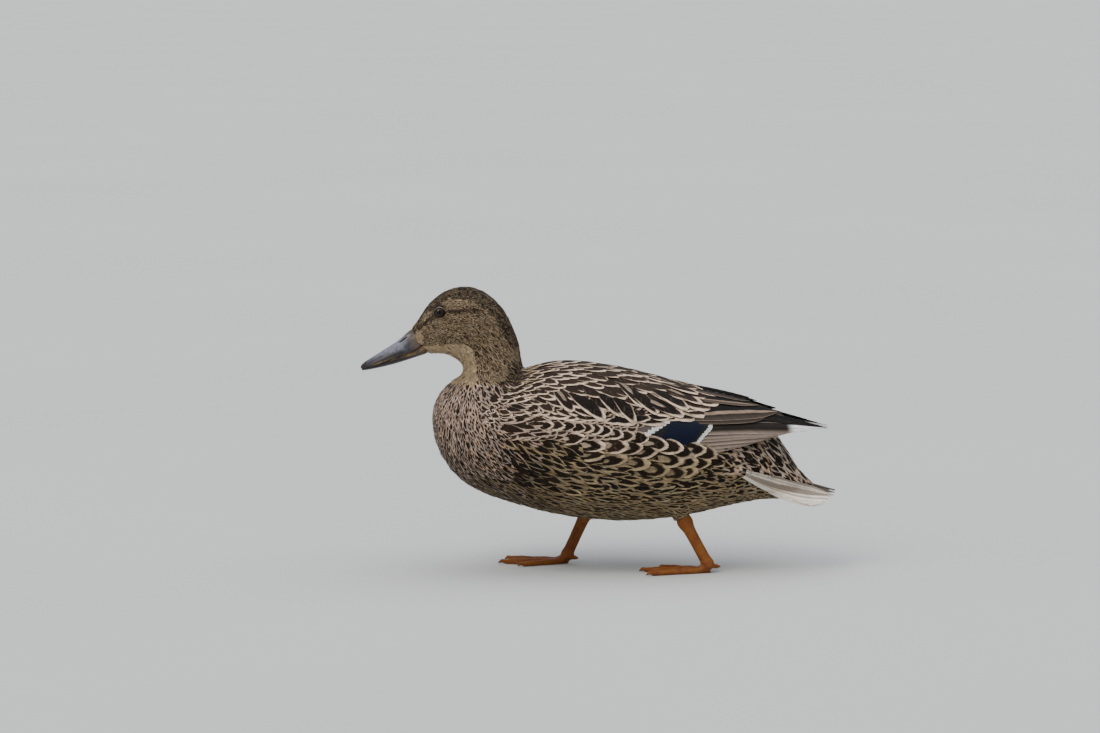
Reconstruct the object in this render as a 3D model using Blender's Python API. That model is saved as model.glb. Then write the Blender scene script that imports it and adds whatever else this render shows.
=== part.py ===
"""A female mallard in mid stride, life size, as a still model in separate named pieces.

The bird faces -X and its left side is at -Y. The floor is z = 0 and the origin lies on the floor
under the middle of the bird's bounding box. Tables are in millimetres and are scaled by MM.
"""

import math
from itertools import pairwise

import bmesh
import bpy
import numpy as np
from mathutils import Matrix, Vector

MM = 0.001
GAP = 0.3  # clearance between neighbouring pieces
SIDES = 28  # points round each body section
BALL_SIDES = 16
CURVE_STEPS = 2  # sections between two rows of a table

# Rows of the trunk, neck and head, from the tail coverts to the bill:
# back x, back z, belly x, belly z, half width, drop of the widest point.
BODY = (
    (172.4, 69.3, 163.0, 57.5, 8.0, 0.00),  # end of the tail coverts
    (158.6, 83.0, 146.0, 57.0, 17.5, 0.00),
    (144.4, 106.0, 128.0, 55.8, 27.0, 0.00),  # rump
    (119.0, 125.5, 106.0, 52.0, 40.0, 0.02),
    (90.0, 140.5, 84.0, 46.8, 51.0, 0.05),  # loin
    (60.0, 151.0, 57.0, 41.8, 59.0, 0.06),
    (25.0, 161.0, 25.0, 39.5, 63.5, 0.06),  # middle of the back
    (-10.0, 166.8, -10.0, 41.0, 64.5, 0.05),
    (-35.0, 167.2, -42.0, 46.5, 63.0, 0.05),  # shoulders
    (-50.0, 164.2, -72.0, 54.6, 60.0, 0.05),
    (-58.0, 161.4, -98.0, 64.2, 56.0, 0.03),
    (-60.2, 160.6, -118.0, 79.6, 51.0, 0.00),  # keel of the breast
    (-60.8, 161.4, -131.0, 104.5, 45.5, -0.03),
    (-61.0, 163.2, -132.2, 130.0, 38.0, -0.05),
    (-61.3, 166.2, -122.0, 147.3, 30.5, -0.05),
    (-61.9, 170.3, -111.2, 154.4, 25.4, 0.00),  # foot of the neck
    (-62.8, 176.0, -107.8, 160.4, 22.6, 0.00),
    (-64.4, 183.4, -110.0, 165.8, 21.5, 0.00),  # nape
    (-68.8, 194.9, -115.6, 170.4, 21.4, 0.05),
    (-76.6, 209.8, -121.5, 172.8, 21.8, 0.10),  # cheeks
    (-91.6, 223.4, -126.5, 173.6, 21.0, 0.15),
    (-108.0, 227.3, -130.0, 173.8, 19.4, 0.20),  # crown
    (-123.4, 223.0, -132.2, 173.8, 17.2, 0.24),
    (-135.4, 213.4, -133.8, 173.8, 14.4, 0.24),  # forehead
    (-142.8, 202.4, -135.0, 173.8, 12.0, 0.18),
    (-148.5, 193.9, -135.8, 173.9, 10.4, 0.08),  # foot of the bill
)

# Rows of the cloak, the surface on which the folded wings lie, from the wing tips to the shoulders:
# the six values of a BODY row, then the heights of the wing's upper and lower edges and its depth.
CLOAK = (
    (184.0, 118.6, 184.0, 107.4, 8.5, 0.00, 117.4, 113.4, 2.2),  # tips of the primaries
    (166.0, 123.0, 166.0, 98.0, 17.0, 0.00, 121.8, 112.6, 3.0),
    (146.0, 129.0, 146.0, 85.0, 26.5, 0.00, 127.2, 110.6, 3.8),
    (119.0, 138.4, 119.0, 61.0, 42.0, 0.02, 136.6, 104.6, 5.0),
    (90.0, 145.6, 87.0, 48.5, 52.0, 0.04, 144.2, 99.4, 6.0),  # speculum
    (60.0, 152.4, 57.0, 42.0, 60.0, 0.06, 150.8, 101.4, 7.0),
    (25.0, 161.8, 25.0, 39.8, 64.0, 0.06, 160.4, 105.0, 7.5),
    (-10.0, 167.2, -10.0, 41.2, 65.0, 0.05, 165.4, 111.0, 7.5),
    (-35.0, 167.4, -42.0, 46.6, 63.4, 0.05, 163.0, 114.6, 7.5),
    (-50.0, 164.3, -72.0, 54.7, 60.3, 0.05, 151.0, 116.0, 7.0),
    (-58.0, 161.5, -98.0, 64.3, 56.2, 0.03, 133.0, 118.0, 6.0),  # bend of the wing
)
WING_STEPS = 10  # points across a wing

NECK_FOOT = ((-61.9, 170.3), (-111.2, 154.4))  # back and front of the cut below the neck
NECK_TOP = ((-67.0, 190.8), (-114.0, 169.6))  # back and front of the cut above the neck

# Rows of the bill, from its foot to its nail: ridge x, z; cutting edge x, z; underside x, z; half width.
BILL = (
    (-148.8, 193.8, -141.1, 181.2, -136.1, 173.9, 10.0),
    (-154.4, 188.9, -146.7, 176.6, -141.6, 172.0, 9.3),
    (-160.6, 183.4, -155.2, 173.2, -151.0, 168.9, 9.1),
    (-170.2, 177.2, -166.2, 169.4, -164.2, 164.8, 9.8),
    (-179.9, 171.1, -178.0, 165.0, -177.0, 161.9, 10.9),
    (-186.1, 166.9, -185.6, 162.9, -184.8, 160.4, 8.8),
    (-189.9, 163.6, -189.6, 161.7, -188.9, 159.9, 4.6),
)
BILL_FACETS = 12  # points across the ridge of the bill
LOWER_BILL_SHARE = 0.84  # width of the lower half of the bill against the upper half

EYE_CENTRE = (-126.8, 10.8, 207.4)
EYE_RADIUS = 5.6

# The tail is a shallow fan about a pivot inside the rump.
TAIL_PIVOT = (105.0, 87.6)
TAIL_ROOT, TAIL_REACH = 24.0, 85.0  # least and greatest distance from the pivot
TAIL_HALF_ANGLE = math.radians(26)
TAIL_FALL = 0.295  # drop for each unit of distance from the pivot
TAIL_DROOP = 13.5  # how far the outer feathers hang below the middle ones, where they do most
TAIL_DROOP_REACH = 1.3 * TAIL_REACH  # the droop grows and ebbs over this distance from the pivot
TAIL_SHORTENING = 14.0  # how much shorter the outermost feathers are than the middle ones
TAIL_DEPTH = 3.0
TAIL_FEATHERS = 16
TAIL_NOTCH = 2.0  # depth of the steps between feather tips

# Each leg: side (-1 is the left), ankle, root of the toes, heading of the middle toe in degrees,
# and where the thigh's plumage ends, as a distance down the leg from the ankle.
LEGS = {
    "left": (-1, (68.4, -27.0, 41.8), (87.6, -25.5, 6.2), 4.0, -3.5),
    "right": (1, (-9.0, 27.0, 42.4), (-25.4, 25.5, 6.2), -4.0, 0.0),
}
THIGH_FOOT_RADIUS, THIGH_TOP_RADIUS, THIGH_LENGTH = 7.4, 13.0, 26.0
ANKLE_RADIUS, SHANK_RADIUS, SHANK_FOOT_RADIUS = 6.3, 4.5, 4.9
SHANK_SQUASH = 0.80  # a shank is narrower across than from front to back
TOE_JOINT = 4.5  # how far the knuckle reaches up the leg from the root of the toes
TOES = (  # name, turn out from the middle toe in degrees, length without claw
    ("inner", -23.0, 39.0),
    ("middle", 0.0, 50.0),
    ("outer", 24.0, 48.0),
)
TOE_RADII = (3.4, 2.5, 2.8, 2.1, 2.3, 1.7)  # knuckles and the stretches between them
TOE_AXIS_HEIGHT = 2.2
CLAW_LENGTH = 5.5
CLAW_RADII = (1.5, 0.45)
HIND_TOE_LENGTH = 9.5
HIND_TOE_RADII = (2.4, 1.9, 1.7, 0.5)
WEB_DEPTH = 1.7
WEB_SAG = 0.20  # how far the web's edge curves back between two toes

COLOURS = {
    "plumage": ((0.30, 0.22, 0.145), 0.85),
    "head": ((0.27, 0.205, 0.14), 0.85),
    "wing": ((0.115, 0.082, 0.060), 0.70),
    "tail": ((0.46, 0.38, 0.29), 0.75),
    "bill": ((0.085, 0.088, 0.095), 0.38),
    "bill_under": ((0.22, 0.13, 0.045), 0.42),
    "leg": ((0.47, 0.16, 0.035), 0.50),
    "eye": ((0.022, 0.012, 0.008), 0.06),
}


def clear_scene():
    for obj in list(bpy.data.objects):
        bpy.data.objects.remove(obj)


def new_collection(name):
    made = bpy.data.collections.new(name)
    bpy.context.scene.collection.children.link(made)
    return made


def material(name):
    made = bpy.data.materials.get(name)
    if made is None:
        colour, roughness = COLOURS[name]
        made = bpy.data.materials.new(name)
        made.use_nodes = True
        shader = made.node_tree.nodes["Principled BSDF"]
        shader.inputs["Base Color"].default_value = (*colour, 1.0)
        shader.inputs["Roughness"].default_value = roughness
        shader.inputs["Metallic"].default_value = 0.0
    return made


def add_object(bm, name, collection, finish=None):
    """The bmesh, in millimetres, as a new object in metres."""
    bmesh.ops.recalc_face_normals(bm, faces=bm.faces)
    bmesh.ops.scale(bm, vec=(MM, MM, MM), verts=bm.verts)
    mesh = bpy.data.meshes.new(name)
    bm.to_mesh(mesh)
    bm.free()
    if finish:
        mesh.materials.append(material(finish))
        mesh.shade_smooth()
        mesh.set_sharp_from_angle(angle=math.radians(50))
    obj = bpy.data.objects.new(name, mesh)
    collection.objects.link(obj)
    return obj


def add_cutter(bm, name):
    obj = add_object(bm, name, CUTTERS)
    obj.hide_render = True
    obj.display_type = "WIRE"
    return obj


def boolean(obj, other, operation="DIFFERENCE"):
    cut = obj.modifiers.new(f"{operation.lower()}_{other.name}", "BOOLEAN")
    cut.operation = operation
    cut.object = other
    cut.solver = "EXACT"


def spline_rows(rows, steps=CURVE_STEPS):
    """A Catmull-Rom curve through the rows, with this many intervals between two of them."""
    rows = [tuple(map(float, row)) for row in rows]
    padded = [rows[0], *rows, rows[-1]]
    made = []
    for k in range(len(rows) - 1):
        before, start, end, after = padded[k : k + 4]
        for step in range(steps):
            t = step / steps
            weights = (
                (2 * t**2 - t - t**3) / 2,
                (2 - 5 * t**2 + 3 * t**3) / 2,
                (t + 4 * t**2 - 3 * t**3) / 2,
                (t**3 - t**2) / 2,
            )
            made.append(tuple(np.dot(weights, (before, start, end, after))))
    made.append(rows[-1])
    return made


def section_point(row, along, across, inset=0.0):
    """A point of a body section: along runs from 1 at the back to -1 at the belly, across from -1 to 1."""
    back_x, back_z, belly_x, belly_z, half_width = row[:5]
    middle = Vector(((back_x + belly_x) / 2, 0, (back_z + belly_z) / 2))
    reach = Vector(((back_x - belly_x) / 2, 0, (back_z - belly_z) / 2))
    point = middle + reach * (along * (1 - inset / reach.length))
    point.y = across * (half_width - inset)
    return point


def section_along(angle, drop):
    return math.cos(angle) - drop * math.sin(angle) ** 2


def angle_at_height(row, height):
    """The angle from the back at which a section reaches this height."""
    back_z, belly_z, drop = row[1], row[3], row[5]
    along = (2 * height - back_z - belly_z) / (back_z - belly_z)
    if abs(drop) < 1e-6:
        cosine = along
    else:
        cosine = (math.sqrt(1 + 4 * drop * (drop + along)) - 1) / (2 * drop)
    return math.acos(max(-1.0, min(1.0, cosine)))


def section_ring(row, inset=0.0):
    """The closed outline of one body section."""
    ring = []
    for k in range(SIDES):
        angle = 2 * math.pi * k / SIDES
        ring.append(section_point(row, section_along(angle, row[5]), math.sin(angle), inset))
    return ring


def loft(rings):
    """A closed bmesh through the rings, which have equal numbers of points."""
    bm = bmesh.new()
    loops = [[bm.verts.new(point) for point in ring] for ring in rings]
    for first, second in pairwise(loops):
        for k, vert in enumerate(first):
            after = (k + 1) % len(first)
            bm.faces.new((vert, second[k], second[after], first[after]))
    bm.faces.new(loops[0])
    bm.faces.new(loops[-1][::-1])
    return bm


def body_form(inset=0.0):
    return loft([section_ring(row, inset) for row in spline_rows(BODY)])


def keep_side(bm, point, normal):
    """Removes the part of the bmesh that lies beyond the plane, and closes it there."""
    made = bmesh.ops.bisect_plane(
        bm, geom=[*bm.verts, *bm.edges, *bm.faces], plane_co=point, plane_no=normal, clear_outer=True
    )
    rim = [item for item in made["geom_cut"] if isinstance(item, bmesh.types.BMEdge)]
    bmesh.ops.edgenet_fill(bm, edges=rim)
    return bm


def cut_away(bm, back, front, upper):
    """Removes what is above or below a cut from a back to a front point, square to the middle plane."""
    (back_x, back_z), (front_x, front_z) = back, front
    normal = Vector((front_z - back_z, 0, back_x - front_x)).normalized()
    if not upper:
        normal = -normal
    return keep_side(bm, Vector((back_x, 0, back_z)) - normal * (GAP / 2), normal)


def mirrored(bm, side):
    """The bmesh as it is for the left side (-1), or mirrored for the right side (1)."""
    if side > 0:
        bmesh.ops.scale(bm, vec=(1, -1, 1), verts=bm.verts)
    return bm


def wing_form(side, outset=0.0, extra_depth=0.0, margin=0.0):
    """A folded wing as a curved panel on the cloak. The last three values make its cutter."""
    rings = []
    for row in spline_rows(CLOAK):
        upper = angle_at_height(row, row[6])
        lower = angle_at_height(row, row[7])
        slack = margin / row[4]
        angles = [
            upper - slack + (lower - upper + 2 * slack) * k / WING_STEPS for k in range(WING_STEPS + 1)
        ]
        outer = [
            section_point(row, section_along(angle, row[5]), -math.sin(angle), -outset) for angle in angles
        ]
        inner = [
            section_point(row, section_along(angle, row[5]), -math.sin(angle), row[8] + extra_depth)
            for angle in angles
        ]
        rings.append(outer + inner[::-1])
    if margin:
        rings[0] = [point + Vector((margin, 0, 0)) for point in rings[0]]
        rings[-1] = [point - Vector((margin, 0, 0)) for point in rings[-1]]
    return mirrored(loft(rings), side)


def fan_point(distance, share, above):
    """A point over the tail's middle surface, at a distance from its pivot and a share of its half angle."""
    angle = share * TAIL_HALF_ANGLE
    across = math.sin(math.pi / 2 * min(abs(share), 1)) ** 1.5
    droop = TAIL_DROOP * across * math.sin(math.pi * distance / TAIL_DROOP_REACH)
    return Vector(
        (
            TAIL_PIVOT[0] + distance * math.cos(angle),
            distance * math.sin(angle),
            TAIL_PIVOT[1] - TAIL_FALL * distance - droop + above,
        )
    )


def tail_form(margin=0.0):
    """The tail fan: rings across it from one side to the other, with a notch between two feathers."""
    rings = []
    half = TAIL_DEPTH / 2 + margin
    for column in range(2 * TAIL_FEATHERS + 1):
        share = (column / TAIL_FEATHERS - 1) * (1 + margin / 12)
        notch = TAIL_NOTCH if column % 2 == 0 and not margin else 0.0
        reach = TAIL_REACH - TAIL_SHORTENING * abs(share) ** 2.6 - notch + margin
        distances = [TAIL_ROOT - margin, (TAIL_ROOT + reach) / 2, reach]
        thin = [half, half, half * 0.55]
        top = [fan_point(distance, share, depth) for distance, depth in zip(distances, thin)]
        under = [fan_point(distance, share, -depth) for distance, depth in zip(distances, thin)]
        rings.append(top + under[::-1])
    return loft(rings)


def bill_rows():
    return spline_rows(BILL)


def upper_bill_form():
    """The upper half of the bill: a rounded ridge over a shallow hollow."""
    rings = []
    for row in bill_rows():
        ridge, edge, half_width = Vector((row[0], 0, row[1])), Vector((row[2], 0, row[3])), row[6]
        ring = []
        for k in range(BILL_FACETS + 1):
            angle = math.pi * (k / BILL_FACETS - 0.5)
            rise = math.cos(angle) ** 0.85
            ring.append(edge + (ridge - edge) * rise + Vector((0, half_width * math.sin(angle), 0)))
        hollow = (ridge - edge) * 0.12
        for share in (0.5, 0.0, -0.5):
            ring.append(edge + hollow * (1 - abs(share)) + Vector((0, half_width * share, 0)))
        rings.append(ring)
    return loft(rings)


def lower_bill_form():
    """The lower half of the bill: a shallow tray below the cutting edge."""
    rings = []
    for row in bill_rows():
        edge, under = Vector((row[2], 0, row[3])), Vector((row[4], 0, row[5]))
        half_width = row[6] * LOWER_BILL_SHARE
        top = edge + (under - edge).normalized() * GAP
        ring = [top + Vector((0, half_width * share, 0)) for share in (-1.0, -0.5, 0.0, 0.5, 1.0)]
        for k in range(1, BILL_FACETS // 2):
            angle = math.pi * (0.5 - 2 * k / BILL_FACETS)
            fall = math.cos(angle) ** 0.7
            ring.append(top + (under - top) * fall + Vector((0, half_width * math.sin(angle), 0)))
        rings.append(ring)
    return loft(rings)


def ball(centre, radius):
    """A sphere with its poles to the left and right of the bird."""
    bm = bmesh.new()
    bmesh.ops.create_uvsphere(bm, u_segments=BALL_SIDES, v_segments=BALL_SIDES // 2, radius=radius)
    bmesh.ops.rotate(bm, cent=(0, 0, 0), matrix=Matrix.Rotation(math.radians(90), 3, "X"), verts=bm.verts)
    bmesh.ops.translate(bm, vec=centre, verts=bm.verts)
    return bm


def round_section(centre, direction, radius, squash, sides=12):
    """A ring about a direction, narrower across the bird by squash."""
    forward = direction.cross(Vector((0, 1, 0))).normalized()
    across = forward.cross(direction).normalized()
    return [
        centre
        + forward * (radius * math.cos(2 * math.pi * k / sides))
        + across * (radius * squash * math.sin(2 * math.pi * k / sides))
        for k in range(sides)
    ]


def leg_direction(ankle, toe_root):
    return (Vector(toe_root) - Vector(ankle)).normalized()


def shank_form(ankle, toe_root, cover):
    """The bare shank with its knobbed ankle, from the edge of the thigh's plumage to the toe joint."""
    ankle, toe_root = Vector(ankle), Vector(toe_root)
    direction = leg_direction(ankle, toe_root)
    shape = (  # share of the length, radius
        (-0.14, ANKLE_RADIUS * 0.80),
        (-0.02, ANKLE_RADIUS),
        (0.07, ANKLE_RADIUS * 0.98),
        (0.20, SHANK_RADIUS * 1.08),
        (0.50, SHANK_RADIUS),
        (0.80, SHANK_RADIUS),
        (1.00, SHANK_FOOT_RADIUS),
    )
    rings = [
        round_section(ankle + (toe_root - ankle) * share, direction, radius, SHANK_SQUASH)
        for share, radius in spline_rows(shape)
    ]
    bm = keep_side(loft(rings), ankle + direction * (cover + GAP), -direction)
    return keep_side(bm, toe_root - direction * (TOE_JOINT + GAP), direction)


def toe_joint_form(ankle, toe_root):
    """The knuckle at the lower end of the shank, from which the toes spread."""
    direction, root = leg_direction(ankle, toe_root), Vector(toe_root)
    shape = ((-TOE_JOINT, SHANK_FOOT_RADIUS), (-1.5, SHANK_FOOT_RADIUS + 0.4), (1.5, 4.6), (3.5, 3.2))
    return loft([round_section(root + direction * at, direction, radius, 0.9) for at, radius in shape])


def thigh_form(ankle, toe_root, side, cover):
    """The feathered end of the thigh, a short cone that widens from the ankle into the flank."""
    direction = leg_direction(ankle, toe_root)
    start = Vector(ankle) + direction * cover
    up = Vector((-0.30, side * 0.25, 1.0)).normalized()
    rings = [round_section(start, -direction, THIGH_FOOT_RADIUS, 0.85, 18)]
    for share, radius in ((0.22, 8.4), (0.42, 10.2), (0.7, 12.0), (1.0, THIGH_TOP_RADIUS)):
        rings.append(round_section(start + up * (share * THIGH_LENGTH), up, radius, 0.85, 18))
    return loft(rings)


def toe_points(root, heading, length):
    """Centre points of a toe from its root, just above the floor."""
    direction = Vector((-math.cos(heading), math.sin(heading), 0))
    steps = len(TOE_RADII) - 1
    floor_root = Vector((root.x, root.y, TOE_AXIS_HEIGHT))
    points = [root - Vector((0, 0, 1))]
    points += [floor_root + direction * (length * k / steps) for k in range(1, steps + 1)]
    return points, direction


def tapered_tube(points, radii, sides=8):
    """A closed tube of round sections along the points."""
    rings = []
    for k, point in enumerate(points):
        before, after = points[max(k - 1, 0)], points[min(k + 1, len(points) - 1)]
        direction = (after - before).normalized()
        across = direction.cross(Vector((0, 0, 1))).normalized()
        upward = across.cross(direction).normalized()
        rings.append(
            [
                point
                + across * (radii[k] * math.cos(2 * math.pi * n / sides))
                + upward * (radii[k] * math.sin(2 * math.pi * n / sides))
                for n in range(sides)
            ]
        )
    return loft(rings)


def web_form(root, tips):
    """The web: a thin plate from the root of the toes to their tips, with a hollow edge between two toes."""
    outline = [Vector((root.x, root.y, 0)) + Vector((2.0, 0, 0))]
    for first, second in pairwise(tips):
        outline.append(first)
        middle = (first + second) / 2
        outline.append(middle + (outline[0] - middle) * WEB_SAG)
    outline.append(tips[-1])
    bm = bmesh.new()
    below = [bm.verts.new((p.x, p.y, 0.0)) for p in outline]
    face = bm.faces.new(below)
    lifted = bmesh.ops.extrude_face_region(bm, geom=[face])
    top = [item for item in lifted["geom"] if isinstance(item, bmesh.types.BMVert)]
    bmesh.ops.translate(bm, vec=(0, 0, WEB_DEPTH), verts=top)
    return bm


def build_foot(name, side, ankle, toe_root, heading):
    """Three webbed toes with claws and a small raised hind toe, flat on the floor."""
    root = Vector(toe_root)
    tips = []
    parts = []
    for toe, turn, length in TOES:
        angle = math.radians(heading + side * turn)
        points, direction = toe_points(root, angle, length)
        tips.append(points[-1])
        points.append(tips[-1] + direction * (CLAW_LENGTH * 0.5) + Vector((0, 0, 0.5)))
        points.append(tips[-1] + direction * CLAW_LENGTH - Vector((0, 0, 1.2)))
        parts.append(add_cutter(tapered_tube(points, (*TOE_RADII, *CLAW_RADII)), f"{name}_{toe}_toe"))
    hind_start = root + Vector((1.0, 0, -0.5))
    turned = Matrix.Rotation(-math.radians(heading), 3, "Z")
    hind_way = turned @ Vector((1, -side * 0.45, -0.12)).normalized()
    hind_points = [hind_start + hind_way * (HIND_TOE_LENGTH * k / 3) for k in range(4)]
    parts.append(add_cutter(tapered_tube(hind_points, HIND_TOE_RADII), f"{name}_hind_toe"))
    parts.append(add_cutter(web_form(root, tips), f"{name}_web"))
    foot = add_object(toe_joint_form(ankle, toe_root), name, DUCK, "leg")
    for part in parts:
        boolean(foot, part, "UNION")
    floor = bmesh.new()
    bmesh.ops.create_cube(floor, size=1)
    bmesh.ops.scale(floor, vec=(160, 160, 20), verts=floor.verts)
    bmesh.ops.translate(floor, vec=(root.x, root.y, -10), verts=floor.verts)
    boolean(foot, add_cutter(floor, f"{name}_floor"))
    return foot


def build_leg(name, side, ankle, toe_root, heading, cover):
    foot = build_foot(f"foot_{name}", side, ankle, toe_root, heading)
    shank = add_object(shank_form(ankle, toe_root, cover), f"shank_{name}", DUCK, "leg")
    thigh = add_object(thigh_form(ankle, toe_root, side, cover), f"thigh_{name}", DUCK, "plumage")
    boolean(thigh, BODY_ROOM)
    foot.parent = shank
    shank.parent = thigh
    return thigh


def build_eye(name, side):
    centre = Vector(EYE_CENTRE) * Vector((1, side, 1))
    eye = add_object(ball((0, 0, 0), EYE_RADIUS), f"eye_{name}", DUCK, "eye")
    eye.location = centre * MM
    boolean(HEAD, add_cutter(ball(centre, EYE_RADIUS + GAP), f"socket_{name}"))
    eye.parent = HEAD


def build_wing(name, side):
    wing = add_object(wing_form(side), f"wing_{name}", DUCK, "wing")
    room = wing_form(side, outset=2.0, extra_depth=GAP * 1.3, margin=GAP * 1.8)
    boolean(TRUNK, add_cutter(room, f"wing_room_{name}"))
    wing.parent = TRUNK


clear_scene()
DUCK = new_collection("duck")
CUTTERS = new_collection("cutters")

BODY_ROOM = add_cutter(body_form(-GAP), "body_room")
TRUNK = add_object(cut_away(body_form(), *NECK_FOOT, upper=True), "trunk", DUCK, "plumage")
NECK = add_object(
    cut_away(cut_away(body_form(), *NECK_FOOT, upper=False), *NECK_TOP, upper=True), "neck", DUCK, "head"
)
HEAD = add_object(cut_away(body_form(), *NECK_TOP, upper=False), "head", DUCK, "head")
NECK.parent = TRUNK
HEAD.parent = NECK

for eye_name, eye_side in (("left", -1), ("right", 1)):
    build_eye(eye_name, eye_side)
    build_wing(eye_name, eye_side)

for bill_name, bill_shape, bill_finish in (
    ("bill_upper", upper_bill_form, "bill"),
    ("bill_lower", lower_bill_form, "bill_under"),
):
    add_object(bill_shape(), bill_name, DUCK, bill_finish).parent = HEAD

add_object(tail_form(), "tail", DUCK, "tail").parent = TRUNK
boolean(TRUNK, add_cutter(tail_form(GAP), "tail_room"))

for leg_name, leg_values in LEGS.items():
    build_leg(leg_name, *leg_values).parent = TRUNK
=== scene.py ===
"""The looks of a walking female mallard: one skin, a coat of vanes laid over it, wing and tail
feathers, bill, eyes and claws, on a plain stage. Tables of places and sizes are in millimetres in
the frame's axes: the bill points to -X, the left side is -Y and the floor is at Z = 0."""

import math
from collections import namedtuple
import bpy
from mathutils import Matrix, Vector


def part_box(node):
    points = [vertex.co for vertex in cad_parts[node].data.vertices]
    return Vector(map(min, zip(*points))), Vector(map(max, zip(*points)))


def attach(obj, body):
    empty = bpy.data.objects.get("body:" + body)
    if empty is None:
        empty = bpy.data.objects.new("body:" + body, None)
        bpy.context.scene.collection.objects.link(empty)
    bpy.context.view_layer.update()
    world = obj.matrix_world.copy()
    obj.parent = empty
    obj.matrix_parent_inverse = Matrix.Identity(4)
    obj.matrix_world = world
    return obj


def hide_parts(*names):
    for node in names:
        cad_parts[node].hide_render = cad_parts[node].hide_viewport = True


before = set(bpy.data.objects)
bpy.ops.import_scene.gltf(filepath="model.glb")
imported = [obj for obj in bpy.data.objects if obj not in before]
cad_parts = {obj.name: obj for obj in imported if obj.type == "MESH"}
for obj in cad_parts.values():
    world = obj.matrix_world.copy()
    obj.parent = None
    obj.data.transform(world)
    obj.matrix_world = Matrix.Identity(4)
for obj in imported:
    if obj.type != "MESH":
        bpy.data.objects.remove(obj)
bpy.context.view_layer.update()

from types import SimpleNamespace

import bmesh
import bpy
import numpy as np
from bpy.props import FloatProperty, FloatVectorProperty, IntProperty, PointerProperty
from mathutils import Matrix, Vector
from mathutils.bvhtree import BVHTree
from mathutils.kdtree import KDTree

bl_info = {
    "name": "Female Mallard",
    "version": (1, 0, 0),
    "blender": (4, 5, 0),
    "location": "3D View > Sidebar > Mallard",
    "description": "Builds the skin, plumage, bill, eyes, claws and stage of a walking duck",
    "category": "Object",
}

MM = 0.001
LEFT, RIGHT = -1, 1
SIDES = (LEFT, RIGHT)
WORD = {LEFT: "left", RIGHT: "right"}
THIGH_NODES = ("thigh_left", "thigh_right")
TRUNK_NODES = ("trunk", "neck", "head", *THIGH_NODES)
BODY_NODES = (*TRUNK_NODES, "wing_left", "wing_right")
LEG_NODES = ("shank_left", "shank_right", "foot_left", "foot_right")
BILL_NODES = ("bill_upper", "bill_lower")
EYE_NODES = ("eye_left", "eye_right")
UP = np.array((0.0, 0.0, 1.0))

# The line that the plumage follows from the bill to the tail, as (x, z).
SPINE = (
    (-145, 190), (-128, 203), (-110, 206), (-94, 194), (-86, 174), (-80, 152),
    (-68, 124), (-30, 106), (20, 102), (70, 98), (120, 84), (170, 64),
)
CROWN_LINE = ((-149, 192.5), (-140, 203.5), (-130, 211.8), (-120, 218), (-110, 219), (-100, 217),
              (-90, 211), (-82, 202), (-76, 191), (-70, 178), (-60, 160))
EYE_LINE = ((-148, 191.5), (-143, 196), (-136, 201), (-127, 207.4), (-115, 209), (-103, 211), (-90, 208))
VIEW_RISE = math.radians(6)


# ---------------------------------------------------------------- settings


def colour(name, description, *default):
    return FloatVectorProperty(
        name=name, description=description, subtype="COLOR", size=3, min=0, max=1, default=default
    )


class MallardCoat(bpy.types.PropertyGroup):
    coat_depth: FloatProperty(
        name="Coat depth", description="From the skin to the tips of the body's feathers",
        default=0.0026, min=0.001, unit="LENGTH")
    face_depth: FloatProperty(
        name="Face depth", description="From the skin to the tips of the face's feathers",
        default=0.0009, min=0.0003, unit="LENGTH")
    thickness_of_cover: FloatProperty(
        name="Cover", description="How closely the feathers stand, as a share of the usual",
        default=1.0, min=0.3, max=2)
    seed: IntProperty(name="Seed", description="Chooses the scatter of the feathers", default=7)


class MallardColours(bpy.types.PropertyGroup):
    buff: colour("Buff", "Pale edges of the feathers of flank and belly", 0.33, 0.245, 0.14)
    breast: colour("Breast", "Pinkish ground of the breast", 0.44, 0.315, 0.24)
    fringe: colour("Fringe", "Crisp pale edges on the back", 0.64, 0.478, 0.348)
    face: colour("Face", "Ground of the cheeks", 0.30, 0.22, 0.135)
    throat: colour("Throat", "Plain throat and foreneck", 0.40, 0.295, 0.175)
    umber: colour("Umber", "Dark marks of flank, breast and head", 0.0075, 0.0040, 0.0018)
    mantle: colour("Mantle", "Dark centres of the back's feathers", 0.025, 0.0145, 0.0090)
    quill: colour("Quill", "Grey brown of the flight feathers", 0.11, 0.083, 0.065)
    blue: colour("Blue", "The blue patch of the wing", 0.002, 0.0042, 0.016)
    slate: colour("Slate", "The bill", 0.060, 0.060, 0.068)
    orange: colour("Orange", "Legs and feet", 0.28, 0.092, 0.009)


class MallardStage(bpy.types.PropertyGroup):
    distance: FloatProperty(
        name="Distance", description="From the camera to the duck", default=3.5, unit="LENGTH")
    focal: FloatProperty(name="Focal length", description="Of the camera's lens", default=143.2)
    floor: colour("Floor", "The pale floor", 0.62, 0.62, 0.60)


def coat():
    return bpy.context.scene.mallard_coat


def tones():
    return bpy.context.scene.mallard_colours


def tone(name):
    return np.array(getattr(tones(), name)[:])


# ---------------------------------------------------------------- numbers


def ramp(value, low, high):
    """0 at low, 1 at high, and smooth between."""
    share = np.clip((np.asarray(value, float) - low) / (high - low), 0, 1)
    return share * share * (3 - 2 * share)


def along(value, table):
    """The second column of table at value in the first."""
    at = np.array(table, float)
    return np.interp(value, at[:, 0], at[:, 1])


def column(table, index):
    return np.array([row[index] for row in table])


def unit(vectors):
    return vectors / np.maximum(np.linalg.norm(vectors, axis=-1, keepdims=True), 1e-12)


def dot(a, b):
    return (a * b).sum(-1, keepdims=True)


def centre_of(node):
    low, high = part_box(node)
    return np.array((low + high) / 2) / MM


# ---------------------------------------------------------------- surfaces


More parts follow.
